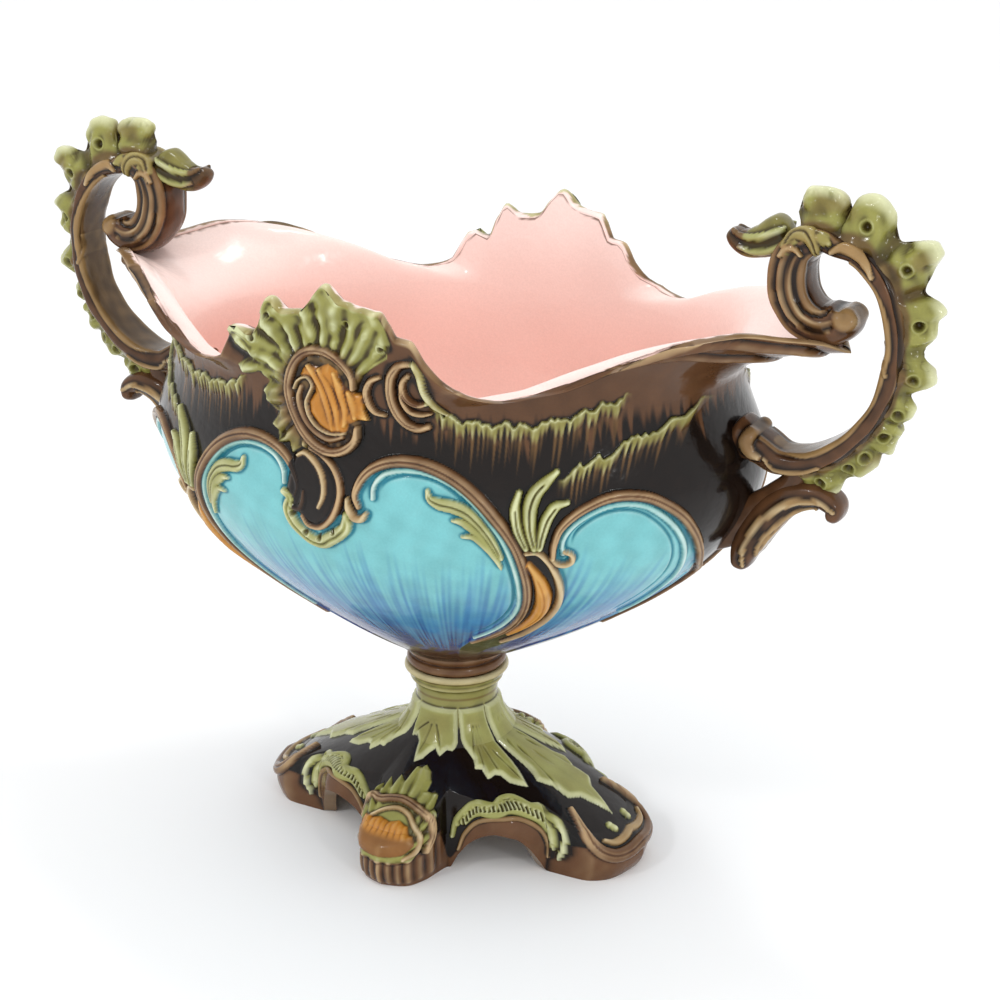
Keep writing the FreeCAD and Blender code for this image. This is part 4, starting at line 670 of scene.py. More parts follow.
def ruffle(skin, line, way, band, drip, seed):
    """A frilled ledge on a line: it stands out at its upper edge, falls off linearly below it,
    and its green runs down through olive into the ground in uneven streaks."""
    xs, zs = np.array(line, float).T
    x, z = skin.flat.T
    x = way * x
    near = np.nonzero((x > xs[0] - 3) & (x < xs[-1] + 3) & (z < zs.max() + 4)
                      & (z > zs.min() - band - drip - 8))[0]
    x, z = x[near], z[near]
    wave = np.interp(x, xs, zs) + 1.3 * np.sin(0.62 * x + 1.5 * np.sin(0.21 * x))
    below = wave + 0.6 * ripple(x[:, None], 3.0, seed + 2) - z
    run = 0.6 * ripple(x[:, None], 7.0, seed) + 0.6 * ripple(x[:, None], 2.3, seed + 1)
    ends = smooth(np.minimum(x - xs[0] + 2, xs[-1] + 2 - x) / 7.0)
    depth = band * (1.0 + 0.5 * run) * (0.5 + 0.5 * ends)
    fold = 0.5 + 0.5 * np.sin(1.1 * x + 1.8 * np.sin(0.33 * x) + 0.12 * below)
    lift = clamp01(1.0 - below / (depth + 2.0)) ** 0.8 * smooth(below / 0.9) * ends
    skin.height[near] += lift * (1.6 + 0.8 * fold)
    edge = smooth(below / 0.7) * ends
    runs = smooth((depth + drip * (0.5 + 0.5 * run) - below) / (0.9 * drip))
    skin.tint(near, 0.95 * edge * runs, DRIP)
    skin.tint(near, edge * smooth((depth - below) / (0.8 * band) + 0.35), blend(GREEN, DRIP, 0.25))
    skin.tint(near, edge * smooth((2.2 - below) / 1.8), GREEN)


def lay_lobe(skin, way):
    """A lobe of the large panel: its frame, the raised line inside it, and the corner leaf."""
    def at(route):
        return mirrored(route, way)
    skin.rib(at(FRAME_EDGE), [2.2, 3.2, 3.6, 3.4, 3.2, 2.8, 2.4, 2.0, 1.4], [1.5, 1.5, 0.8],
             blend(TURQUOISE, LEAF, 0.25))
    skin.groove(at(FRAME_GROOVE), 2.4, 0.9, pooled_and_shaded(TURQUOISE), 0.75)
    for lobe, width in zip(CORNER_LOBES, (5.6, 4.6)):
        skin.rib(at(lobe), [1.6, width, width, 3.6, 1.6], 1.6, LEAF)
    skin.rib(at(CORNER_LEAF), [2.2, 6.4, 7.2, 6.4, 5.4, 4.2, 2.6], [1.6, 2.2, 2.2, 1.2], LEAF)
    skin.groove(at(CORNER_LEAF), 1.5, 0.8, pooled_and_shaded(LEAF), 0.6)
    skin.rib(at(FRAME), [3.0, 5.0, 6.2, 7.0, 7.0, 6.8, 6.2, 5.4, 5.0, 4.6, 4.2, 3.6, 2.4],
             [2.4, 3.6, 3.8, 3.4, 2.8, 2.2, 1.2], BROWN)
    skin.groove(at(FRAME), 1.5, 0.7)
    skin.rib(at(TIP_CURL), [2.4, 4.6, 5.2, 4.6, 2.6], 3.2, TAN)


def lay_end(skin, way):
    """The end panel's frame and the palmette between the two panels."""
    def at(route):
        return mirrored(route, way)
    skin.rib(at(END_EDGE), [2.4, 3.4, 3.2, 3.0, 2.6, 1.6], [1.3, 1.4, 0.8],
             blend(TURQUOISE, LEAF, 0.15))
    skin.groove(at(END_GROOVE), 2.2, 0.9, pooled_and_shaded(TURQUOISE), 0.75)
    skin.rib(at(END_FRAME), [3.4, 4.6, 5.4, 5.8, 5.8, 5.2, 4.6, 4.0, 3.2, 2.0],
             [3.0, 3.6, 3.2, 2.2, 1.2], BROWN)
    skin.groove(at(END_FRAME), 1.4, 0.6)
    skin.rib(at(END_CURL), [2.6, 3.4, 3.4, 3.0, 2.0], 2.6, TAN)
    skin.dimple(at([(110.2, 212.8)])[0], 1.7, 1.2, pooled_and_shaded(TURQUOISE))
    skin.rib(at(HOOK), [2.4, 3.4, 4.2, 4.2, 4.0, 3.6, 3.0, 2.0], [3.4, 3.4, 2.6, 1.4], TAN)
    skin.rib(at(DROP), [3.0, 6.6, 8.6, 8.2, 6.4, 4.4, 2.4], [2.4, 4.4, 4.2, 2.6, 1.2], AMBER)
    skin.groove(at(DROP[1:-1]), 1.2, 0.5)
    for finger, widths in FINGERS:
        skin.rib(at(finger), widths, [2.6, 4.4, 4.6, 3.6], GREEN)
        skin.groove(at(finger[1:]), 1.6, 1.2, pooled_and_shaded(GREEN), 0.6)


def lay_cartouche(skin):
    """A frilled shell round an oval scroll with an amber heart, scrolls beside it, and a dark
    pendant with a pale frill under it."""
    index, depth = skin.patch(SHELL, 2.6, 3.0, GREEN)
    x, z = skin.flat[index].T
    angle = np.arctan2(z - SHELL_HUB[1], x - SHELL_HUB[0])
    far = np.hypot(x - SHELL_HUB[0], z - SHELL_HUB[1])
    folds = np.cos(17.0 * angle + 1.9 * np.sin(3.0 * angle) + 0.06 * far)
    folds += 0.5 * np.cos(31.0 * angle - 0.10 * far)
    skin.height[index] += 1.3 * folds * smooth((far - 18.0) / 12.0) * smooth(depth / 1.5)
    skin.height[index] -= 1.6 * np.exp(-((far - 35.0) / 6.0) ** 2) * smooth(depth / 3.0)
    skin.height[index] += 0.5 * ripple(skin.spots[index], 6.0, 57)
    skin.tint(index, 0.85 * smooth((29.0 - far) / 6.0), BROWN)
    low = smooth((300.0 - z) / 30.0) * smooth((40.0 - far) / 12.0)
    skin.tint(index, 0.6 * low, DRIP)
    for spot in ((-10.0, 330.0), (-7.5, 309.5), (29.5, 312.0), (-43.0, 308.5), (-33.0, 321.0),
                 (12.0, 322.0)):
        skin.dimple(spot, 1.7, 1.5, pooled_and_shaded(GREEN))
    # the pendant
    index, depth = skin.patch(PENDANT, 2.0, 4.0, GROUND)
    skin.rib(PENDANT_RIM, [2.4, 3.4, 4.0, 4.2, 4.0, 3.6, 2.4], 3.2, BROWN)
    skin.rib(PENDANT_LEAF, [2.2, 4.2, 4.6, 4.0, 2.2], 3.4, TAN)
    skin.rib(FRILL, [4.0, 6.6, 7.4, 7.8, 8.0, 7.8, 7.0, 5.4], 3.0, LEAF)
    skin.groove(FRILL, 2.6, 0.9)
    for spot in ((-20.4, 223.4), (-14.0, 214.4), (-6.6, 212.6), (2.4, 217.6)):
        skin.dimple(spot, 1.6, 1.4, pooled_and_shaded(GREEN))
    # the oval and its heart
    for route, widths in SIDE_SCROLLS:
        skin.rib(route, widths, [2.6, 4.0, 4.2, 3.4], BROWN)
        skin.groove(route[1:-1], 1.2, 0.6)
    skin.rib(SIDE_LEAF, [3.0, 4.6, 4.4, 3.4, 1.8], 2.6, blend(GREEN, TAN, 0.35))
    index, depth = skin.patch(HEART, 1.7, 4.0, AMBER, over=2.6)
    for rib in HEART_RIBS:
        skin.rib(rib, [2.0, 4.0, 4.4, 3.4, 2.0], [0.8, 1.4, 1.2, 0.6], None, over=4.0)
    skin.rib(OVAL, [2.6, 4.0, 4.8, 5.0, 5.2, 5.4, 5.4, 5.2, 5.0, 4.6, 3.0], 2.6, BROWN, over=2.6)
    skin.groove(OVAL, 1.3, 0.6)
    skin.rib(INNER_C, [2.4, 3.8, 4.2, 4.0, 3.4, 2.4], 2.0, BROWN, over=2.6)
    skin.rib(INNER_LINE, [1.4, 1.8, 1.8, 1.8, 1.4], 1.6, TAN, over=3.4)


def lay_rim(skin):
    """Two rolled lines under the rim from the crest out to each tip, and a brown edge."""
    for way in (-1, 1):
        for below, width, rise in ((0.11, 6.4, 3.6), (0.36, 5.0, 2.6)):
            turns = np.linspace(33.0, 89.5, 70)
            top = top_level(turns)
            line = wall(way * turns, top - below)
            skin.rib(line, [1.2, width, width, width, width, 1.6], [0.4, rise, rise, rise, 0.6],
                     BROWN)
    glaze = skin.in_rows(skin.glaze)
    off_crest = smooth((np.abs(skin.points[:skin.outer_rows, :, 0]) - 40.0) / 20.0)
    share = np.linspace(0, 1, skin.outer_rows)[:, None]
    weight = off_crest * smooth((share - 0.955) / 0.02)
    glaze[:skin.outer_rows] = blend(glaze[:skin.outer_rows], BROWN, weight[..., None, None])


def bowl_outside():
    """The front wall in four pieces, and the back, which is its coarser mirror image, in two."""
    skin = front_wall(columns=801, rows=380)
    paint_ground(skin)
    paint_panel(skin, BIG_PANEL + mirrored(BIG_PANEL, -1)[-2:0:-1], 11)
    for way in (-1, 1):
        paint_panel(skin, mirrored(END_PANEL, way), 21)
    for way in (-1, 1):
        ruffle(skin, UPPER_RUFFLE, way, 6.0, 20.0, 41)
        ruffle(skin, LOWER_RUFFLE, way, 5.5, 16.0, 47)
        lay_lobe(skin, way)
        lay_end(skin, way)
    lay_rim(skin)
    lay_cartouche(skin)
    # the foot of the wall is brown up to an uneven line
    low = 130.0 + 4.0 * ripple(skin.spots[:, :2], 7.0, 15) - skin.spots[:, 2]
    skin.wash(smooth(low / 6.0), blend(GROUND, BROWN, 0.3))
    carry_over_lip(skin)
    raised, normals, colour = skin.fired_and_shaded(rounds=(5, 9))
    normals = in_seam(normals)
    for names, face, turned_round in ((("far_left", "left", "right", "far_right"), "front", False),
                                      (("right", "left"), "back", True)):
        grid = [raised, normals, colour]
        if turned_round:
            flip = np.array([1, -1, 1])
            grid = [raised[:, ::-2] * flip, normals[:, ::-2] * flip, colour[:, ::-2]]
        step = (grid[0].shape[1] - 1) // len(names)
        for i, part in enumerate(names):
            own = [field[:, i * step:(i + 1) * step + 1] for field in grid]
            mesh_piece("%s_wall_%s" % (face, part), [(*own, False, ())], GLAZE,
                       WALL_NODES["%s_%s" % (face, part)])


SIDE_NODES = ["rim_moulding", "lobe_frame", "end_frame", "palmette", "amber_drop"]
MIDDLE_NODES = ["cartouche_shell", "cartouche_scroll", "cartouche_boss", "pendant", "side_scroll"]
WALL_NODES = {
    "front_far_left": ["front_left_" + n for n in SIDE_NODES if n != "lobe_frame"],
    "front_left": ["front_left_lobe_frame", "front_pendant"],
    "front_right": ["front_right_lobe_frame"] + ["front_" + n for n in MIDDLE_NODES
                                                 if n != "pendant"],
    "front_far_right": ["front_right_" + n for n in SIDE_NODES if n != "lobe_frame"],
    "back_right": ["back_right_" + n for n in SIDE_NODES],
    "back_left": ["back_left_" + n for n in SIDE_NODES] + ["back_" + n for n in MIDDLE_NODES],
}


INSIDE_TO_NECK = 0.28   # share of the inside's rows that lie above the neck


def bowl_inside():
    """The pink inside: rows go down from the edge to the floor, then in to the bore."""
    turn = np.linspace(-180.0, 180.0, 400, endpoint=False)[None]
    front = np.where(np.abs(turn) <= 90.0, turn, np.sign(turn) * (180.0 - np.abs(turn)))
    top = top_level(front)
    share = np.linspace(0.0, 1.0, 150)[:, None]
    level = np.where(share < INSIDE_TO_NECK, blend(top, 1.0, share / INSIDE_TO_NECK),
                     (1.0 - share) / (1.0 - INSIDE_TO_NECK))
    points = wall(front + 0 * level, level, WALL, FLOOR_Z)
    points[..., 1] *= np.where(np.abs(turn) <= 90.0, 1.0, -1.0)
    ways = points[-1, :, :2] / np.linalg.norm(points[-1, :, :2], axis=1, keepdims=True)
    floor = rings(ways, [(radius, FLOOR_Z) for radius in (17.0, 12.0, 8.0, BORE_R)])
    bore = rings(ways, [(BORE_R, z) for z in (118.0, 112.0, 106.0, 94.5)])
    points = np.concatenate([points, floor, bore])
    normals = grid_normals(points, True)
    z = points[..., 2]
    # painted shade: the pink turns salmon deeper in the bowl; painted highlight: it turns paler
    # towards the rim
    deep = smooth((NECK_Z + 26.0 - z) / 150.0)[..., None]
    colour = blend(PINK[1], SALMON[1], deep)
    colour = blend(colour, PINK[2], 0.5 * smooth((z - NECK_Z - 8.0) / 30.0)[..., None])
    pools = ripple(points, 60.0, 61)[..., None]
    colour = colour * (1.0 + 0.025 * pools)
    # thin brown broken by the rim's edge
    edge = np.linspace(0, 1, len(points))[:, None] * 220.0
    worn = smooth((1.6 + 1.6 * ripple(points[..., :2], 16.0, 63)
                   + 1.0 * ripple(points[..., :2], 5.0, 64) - edge) / 0.9)
    colour = blend(colour, BROWN[1], 0.8 * worn[..., None])
    mesh_piece("bowl_inside", [(points, normals, colour, True, ())], GLAZE,
               ["bowl_body"])


def bowl_foot():
    """The rolled ring under the bowl that stands in the collar: a profile turned round."""
    profile = along([(24.0, 94.2, 0), (24.0, 99.6, 0), (26.6, 100.4, 0), (27.6, 102.6, 0),
                     (26.8, 104.8, 0), (25.4, 105.6, 0), (26.2, 106.8, 0), (27.2, 108.2, 0),
                     (27.4, 109.6, 0), (26.6, 110.6, 0)], 60)
    angle = np.linspace(0, 2 * math.pi, 240, endpoint=False)[None]
    radius, z = profile[:, :1], profile[:, 1:2]
    points = np.stack([radius * np.cos(angle), radius * np.sin(angle), z + 0 * angle], -1)
    skin = Skin(points, points[..., [0, 2]], on_front, BROWN, wrap=True)
    raised, normals, colour = skin.fired_and_shaded(rounds=(8, 8), strength=0.8)
    mesh_piece("bowl_foot", [(raised, normals, colour, True, ())], GLAZE)


# ------------------------------------------------------------ the stand

FOOT = (112.0, 84.0)
DOME = (FOOT[0] + 5.5, FOOT[1] + 4.5)
DOME_SLOPE = 0.66       # share of the dome's fall that is straight; the rest comes at its edge
ARCH = 26.0
ARCH_SPRING = 0.6       # how much of an arch's curve lies under the ground line
SKIRT_BULGE, SKIRT_KNEE = 1.1, 0.62
STAND_TOP = 99.3
FOOT_PLAN = steady([(0.0, 112.0), (10.0, 108.6), (16.0, 100.8), (20.0, 85.1), (22.5, 77.3),
                    (26.0, 76.7), (31.0, 75.6), (37.0, 75.0), (44.5, 70.1), (51.5, 62.6),
                    (59.0, 58.0), (66.0, 55.4), (70.0, 60.5), (75.0, 71.4), (81.0, 80.6),
                    (90.0, 84.0)])
ARCH_RISE = steady([(0.0, 0.0), (21.0, 0.0), (25.5, 0.30), (30.5, 0.66), (37.0, 0.93),
                    (43.5, 1.0), (51.5, 0.79), (60.0, 0.38), (66.0, 0.0), (90.0, 0.0)])
EDGE_INSET = steady([(0.0, 11.0), (16.0, 8.0), (22.0, 5.0), (37.0, 6.0), (60.0, 4.0),
                     (75.0, 5.0), (90.0, 9.0)])
STEM = steady([(60.0, 31.5), (67.2, 26.55), (73.4, 23.76), (80.6, 22.5), (88.1, 23.4),
               (94.1, 26.3), (99.3, 28.3)])
SHOULDER = (60.0, 31.5)
STAND_WALL = 7.0
STEM_ROOF_Z = 53.0


def stand(turn, reach, inset=0.0):
    """The stand at degrees from the front towards +X. Reach 0 to 1 runs down the stem's
    profile, to 2 straight out over the dome and to 3 down a parabola to the ground line."""
    turn, reach = np.broadcast_arrays(np.asarray(turn, float), np.asarray(reach, float))
    c, s = np.sin(np.radians(turn)), -np.cos(np.radians(turn))
    low, wide = SHOULDER
    side = np.degrees(np.arctan2(np.abs(s), np.abs(c)))
    foot = FOOT_PLAN(side)
    edge = foot - EDGE_INSET(side)
    arch = ARCH_RISE(side) * (ARCH + ARCH_SPRING)
    bulge = foot + SKIRT_BULGE * EDGE_INSET(side) * clamp01(1.0 - arch / ARCH)
    ground = np.maximum(arch - ARCH_SPRING, 0.0)
    start = wide / DOME[0]
    end = np.hypot(edge * c / DOME[0], edge * s / DOME[1])

    def dome(share):
        """Height of the dome: a straight fall, and one by the eighth power at its edge."""
        run = clamp01((blend(start, end, share) - start) / (1.0 - start))
        return low * (1.0 - DOME_SLOPE * run - (1.0 - DOME_SLOPE) * run ** 8)

    stem_z = blend(STAND_TOP, low, clamp01(reach))
    share = clamp01(reach - 1.0)
    radius = np.where(reach <= 1.0, STEM(stem_z), blend(wide, edge, share)) - inset
    height = np.where(reach <= 1.0, stem_z, dome(share)) - inset
    u = clamp01(reach - 2.0)
    top = dome(np.ones_like(u)) - inset
    belly = blend(ground, top, SKIRT_KNEE)
    low_r = edge * (1 - u) ** 2 + bulge * 2 * u * (1 - u) + foot * u ** 2 - inset
    low_z = top * (1 - u) ** 2 + belly * 2 * u * (1 - u) + ground * u ** 2
    radius = np.where(reach > 2.0, low_r, radius)
    height = np.where(reach > 2.0, low_z, height)
    return np.stack([radius * c, radius * s, height], -1)


# leaves that hang from the stem, as (turn, reach) outlines; the middle ones lie at turn 0
FRONT_LEAF = [(-30.0, 0.50), (-29.3, 0.82), (-25.1, 0.96), (-18.0, 0.93), (-13.3, 0.98),
              (-6.0, 1.22), (0.0, 1.16), (3.5, 1.08), (8.0, 1.02), (14.0, 1.12), (19.6, 1.04),
              (24.8, 1.07), (30.0, 0.94), (30.0, 0.50)]
SIDE_LEAF_OUTLINE = [(31.0, 0.50), (33.7, 0.91), (38.5, 1.04), (43.0, 1.22), (42.4, 1.38),
                     (47.0, 1.37), (48.7, 1.52), (54.3, 1.46), (57.3, 1.49), (60.0, 1.62),
                     (67.8, 1.74), (69.0, 1.56), (70.2, 1.41), (71.1, 1.24), (71.0, 0.90),
                     (70.0, 0.50)]
END_LEAF = [(71.0, 0.50), (74.0, 1.10), (76.4, 1.35), (74.4, 1.48), (79.0, 1.54), (80.0, 1.68),
            (85.2, 1.72), (90.0, 1.94), (93.0, 1.76), (98.0, 1.70), (99.0, 1.56), (104.0, 1.50),
            (103.0, 1.32), (106.0, 1.10), (109.0, 0.50)]
RUFFLE_TOP = [(26.5, 2.62), (29.0, 2.44), (33.5, 2.30), (37.9, 2.14), (41.9, 2.02), (44.2, 2.02),
              (48.2, 1.93), (51.1, 1.84), (56.2, 1.83), (59.3, 1.9), (62.8, 2.02), (66.4, 2.06),
              (68.0, 2.15), (70.0, 2.17), (70.6, 2.34), (70.2, 2.56), (69.5, 2.76)]
RUFFLE_DIMPLES = [(32.7, 2.50), (36.6, 2.34), (40.4, 2.20), (44.4, 2.10), (48.4, 2.02),
                  (52.4, 1.95), (56.4, 1.98), (60.4, 2.08), (64.0, 2.16), (67.0, 2.27),
                  (68.6, 2.44), (68.9, 2.62)]
RUFFLE_LINE = [(29.7, 2.92), (33.3, 2.74), (38.7, 2.60), (44.0, 2.46), (49.5, 2.33),
               (56.0, 2.30), (61.1, 2.38), (65.0, 2.46), (67.2, 2.60), (67.6, 2.80)]
SPIRAL = [(78.7, 2.16), (80.8, 2.22), (85.6, 2.22), (90.5, 2.15), (94.6, 2.08), (96.7, 2.0)]
FOOT_BAND = [(76.5, 1.80), (74.9, 2.0), (74.9, 2.22), (76.3, 2.38), (79.0, 2.46), (83.9, 2.48),
             (90.0, 2.42), (96.1, 2.48), (101.0, 2.46), (103.7, 2.38), (105.1, 2.22),
             (105.1, 2.0), (103.5, 1.80)]
FOOT_SHELL = [(-18.5, 2.30), (-19.0, 2.0), (-18.0, 1.80), (-14.5, 1.72), (-15.5, 1.56),
              (-10.0, 1.56), (-9.0, 1.40), (-4.0, 1.44), (-1.0, 1.26), (6.0, 1.22),
              (11.0, 1.30), (13.0, 1.46), (12.0, 1.56), (16.2, 1.66), (18.5, 1.84),
              (17.4, 2.0), (19.0, 2.18), (18.0, 2.36), (10.0, 2.52), (-10.0, 2.52)]
FOOT_OVAL = [(-17.4, 2.36), (-17.8, 2.10), (-15.5, 1.90), (-11.0, 1.76), (-5.0, 1.68),
             (1.0, 1.66), (7.5, 1.70), (12.6, 1.84), (15.8, 2.04), (16.6, 2.26), (14.8, 2.48)]
FOOT_OVAL_IN = [(-10.5, 1.93), (-5.2, 1.80), (1.0, 1.76), (6.4, 1.80), (10.6, 1.94),
                (12.8, 2.14), (12.2, 2.34), (8.4, 2.42)]
FOOT_HEART = [(-13.2, 2.30), (-13.6, 2.06), (-11.0, 1.93), (-6.0, 1.88), (-1.0, 1.90),
              (3.4, 1.87), (8.0, 1.92), (11.0, 2.08), (11.4, 2.24), (8.3, 2.34), (3.6, 2.38),
              (-3.3, 2.40), (-10.1, 2.40)]


def leaf(skin, outline, middle, tips):
    """A leaf with a pale scalloped edge and a vein from its foot to each lobe."""
    index, depth = skin.patch(outline, 2.1, 2.6, LEAF)
    for tip in tips:
        foot = (blend(middle, tip[0], 0.25), 0.72)
        skin.groove([foot, (blend(foot[0], tip[0], 0.6), blend(foot[1], tip[1], 0.5)), tip],
                    2.0, 0.7)
    shade = 0.5 + 0.5 * ripple(skin.spots[index], 17.0, 73)
    skin.tint(index, 0.55 * shade * smooth((depth - 2.0) / 3.0), blend(GREEN, DRIP, 0.45))
    skin.tint(index, 0.6 * smooth((2.8 - depth) / 2.0), LEAF[[2, 2, 2]])


def lay_stand(skin):
    """Bands on the collar, leaves down the stem, a ruffle over each arch, and feet."""
    turn, reach = skin.flat.T
    p = skin.spots
    # the feet are brown under their bands and round the arches
    side = np.abs(turn)
    brown = steady([(-1.0, 2.44), (20.0, 2.50), (24.0, 2.86), (30.0, 2.90), (38.0, 2.62),
                    (44.0, 2.48), (50.0, 2.36), (56.0, 2.33), (62.0, 2.42), (67.0, 2.66),
                    (71.0, 2.48), (75.0, 2.32), (78.0, 2.42), (90.0, 2.46)])
    skin.wash(smooth((reach - brown(side)) / 0.03), BROWN)
    # the stem is olive and the collar a little browner, with two lips
    skin.wash(smooth((0.80 - reach) / 0.10), blend(LEAF, DRIP, 0.25))
    for at, width, rise in ((0.045, 3.4, 1.3), (0.20, 3.0, 0.9)):
        ring = stand(np.linspace(-180, 180, 241), at)
        skin.rib(ring, width, rise, blend(GREEN, TAN, 0.3))
    skin.wash(0.7 * smooth(1.0 - np.abs(reach - 0.37) / 0.035), DRIP)
    skin.wash(0.45 * smooth((0.14 + 0.05 * ripple(p, 20.0, 71) - reach) / 0.05), TAN)
    leaf(skin, FRONT_LEAF, 0.0, [(-22.0, 0.94), (-6.0, 1.18), (14.0, 1.08)])
    for way in (-1, 1):
        leaf(skin, mirrored(SIDE_LEAF_OUTLINE, way), way * 50.0,
             [(way * t, r) for t, r in ((43, 1.30), (48.7, 1.46), (57, 1.44), (67, 1.66))])
        leaf(skin, mirrored(END_LEAF, way), way * 90.0,
             [(way * t, r) for t, r in ((76, 1.42), (80, 1.62), (90, 1.86), (98, 1.62),
                                        (104, 1.42))])
        lay_arch(skin, way)
        lay_end_foot(skin, way)
    lay_front_foot(skin)


def lay_arch(skin, way):
    """The arch's brown line, and over it a swelling ruffle with slots and a scalloped top."""
    skin.rib(mirrored(RUFFLE_LINE, way), [2.0, 2.8, 2.8, 2.8, 2.0], 1.6,
             blend(BROWN, TAN, 0.6))
    skin.rib(mirrored(RUFFLE_TOP, way), [3.0, 4.6, 5.0, 5.0, 4.6, 3.0], 2.4, LEAF)
    skin.rib(mirrored(RUFFLE_DIMPLES, way), [5.0, 8.4, 9.0, 9.0, 8.4, 7.0, 5.0],
             [1.8, 2.8, 3.0, 2.8, 1.8], LEAF, round_=0.4)
    slots = along([(turn, reach, 0.0) for turn, reach in RUFFLE_DIMPLES], 22)
    for turn, reach, _ in slots:
        skin.groove([(way * turn, reach - 0.07), (way * (turn + 0.3), reach + 0.10)], 1.9, 1.7,
                    pooled_and_shaded(GREEN), 1.0)
    top = mirrored(RUFFLE_TOP, way)
    for spot in top[1:-1]:
        skin.rib([spot, (spot[0] + 0.01, spot[1] + 0.05)], 4.2, 2.4, LEAF)


def lay_front_foot(skin):
    """A shell whose folds are a cosine of the angle round its middle, a ribbed apron under it,
    and an amber heart with half-round folds in an oval."""
    index, depth = skin.patch(FOOT_SHELL, 2.4, 3.0, GREEN)
    turn, reach = skin.flat[index].T
    angle = np.arctan2((reach - 2.05) * 40.0, turn * 1.4)
    far = np.hypot((reach - 2.05) * 40.0, turn * 1.4)
    skin.height[index] += 0.9 * np.cos(15.0 * angle) * smooth((far - 14.0) / 6.0)
    turn, reach = skin.flat.T
    apron = smooth((22.0 - np.abs(turn)) / 4.0) * smooth((reach - 2.44) / 0.05)
    ribs = 0.5 + 0.5 * np.cos(2 * math.pi * turn / 3.4)
    skin.height += 1.0 * apron * ribs * smooth((3.0 - reach) / 0.1)
    skin.wash(apron, BROWN)
    index, depth = skin.patch(FOOT_HEART, 2.4, 5.0, AMBER, over=2.4)
    local = skin.flat[index, 0]
    rise = np.abs(np.cos(math.pi * local / 2.6))
    upper = smooth((2.16 - skin.flat[index, 1]) / 0.12)
    skin.height[index] += 0.5 * rise * upper * smooth(depth / 2.0)
    skin.tint(index, 0.7 * (1.0 - upper), BROWN)
    skin.rib(FOOT_OVAL, [3.4, 4.6, 5.0, 5.0, 5.0, 4.6, 3.4], 2.2, BROWN, over=2.4)
    skin.groove(FOOT_OVAL, 1.3, 0.6)
    skin.rib(FOOT_OVAL_IN, [1.8, 2.8, 3.0, 2.8, 1.8], 1.5, TAN, over=2.4)


def lay_end_foot(skin, way):
    """The band round an end foot, its spiral and two buds."""
    skin.rib(mirrored(FOOT_BAND, way), [3.4, 6.4, 7.6, 7.8, 7.8, 7.6, 6.4, 3.4], 3.0, BROWN)
    skin.groove(mirrored(FOOT_BAND, way), 1.4, 0.6)
    skin.rib(mirrored(SPIRAL, way), [2.6, 4.6, 5.0, 4.4, 2.4], 2.0, TAN)
    for at in ((85.0, 1.99), (95.0, 1.99)):
        skin.rib([(way * at[0], at[1]), (way * (at[0] + 0.5), at[1] + 0.06)], 4.6, 2.0, LEAF)


# the socket that the bowl's foot stands in, up to its lip, as (radius, height)
SOCKET = [(24.3, 92.2), (24.3, 97.6), (24.8, 98.9), (26.0, 99.5), (27.4, 99.6)]


def stand_outside():
    """The stand's skin from inside the socket down to the ground: a front half in two pieces,
    and the back, which is its coarser mirror image, in one."""
    columns, rows = 441, 260
    turn = np.linspace(-90.0, 90.0, columns)[None]
    share = np.linspace(0.0, 1.0, rows)[:, None]
    reach = np.interp(share, [0.0, 0.24, 0.70, 1.0], [0.0, 1.0, 2.0, 3.0])
    rim = rings(compass(turn[0]), SOCKET)
    flat = np.stack(np.broadcast_arrays(turn, reach), -1)
    rim_flat = np.stack(np.broadcast_arrays(turn, np.full((len(rim), 1), -0.02)), -1)
    points = np.concatenate([rim, stand(turn + 0 * reach, reach)])[::-1]
    skin = Skin(points, np.concatenate([rim_flat, flat])[::-1], stand, GROUND)
    ends = np.ones(points.shape[:2])
    ends[-len(rim):] = 0.0
    ends[:8] = np.linspace(0.0, 0.9, 8)[:, None]
    skin.share = ends.ravel()
    skin.normals = in_seam(skin.normals)
    lay_stand(skin)
    raised, normals, colour = skin.fired_and_shaded(rounds=(6, 7))
    raised[..., 2] = np.maximum(raised[..., 2], 0.0)
    grid = [raised, in_seam(normals), colour]
    middle = columns // 2
    for part, own, nodes in (
            ("left", slice(0, middle + 1), ["front_foot_shell", "front_left_arch_ruffle",
                                            "stand_body"]),
            ("right", slice(middle, None), ["front_foot_boss", "front_right_arch_ruffle",
                                            "stem_leaves"])):
        mesh_piece("stand_front_" + part, [(*[field[:, own] for field in grid], False, ())],
                   GLAZE, nodes)
    flip = np.array([1, -1, 1])
    mesh_piece("stand_back", [(grid[0][:, ::-2] * flip, grid[1][:, ::-2] * flip,
                               colour[:, ::-2], False, ())],
               GLAZE, ["back_foot_shell", "back_foot_boss",
                                      "back_right_arch_ruffle", "back_left_arch_ruffle"])


def stand_underside():
    """The bare inside of the stand: its skin set in by the wall, up to the stem's ceiling."""
    turn = np.linspace(-180.0, 180.0, 360, endpoint=False)[None]
    edge = stand(turn, 3.0)
    reach = np.linspace(3.0, 1.0, 60)[:, None]
    inner = stand(turn + 0 * reach, reach, STAND_WALL)
    inner[..., 2] = np.maximum(inner[..., 2], 0.0)
    stem = rings(compass(turn[0]), [(15.0, STEM_ROOF_Z)] + [(BORE_R, z) for z in
                                                            (STEM_ROOF_Z, 60.0, 80.0, 92.0)])
    points = np.concatenate([edge, inner, stem])[::-1]
    normals = grid_normals(points, True)
    clay = linear((128, 104, 78))[0]
    grain = 1.0 + 0.05 * ripple(points, 8.0, 81)[..., None]
    mesh_piece("stand_underside", [(points, normals, clay * grain, True, ())], GLAZE)


# ------------------------------------------------------------ the handles

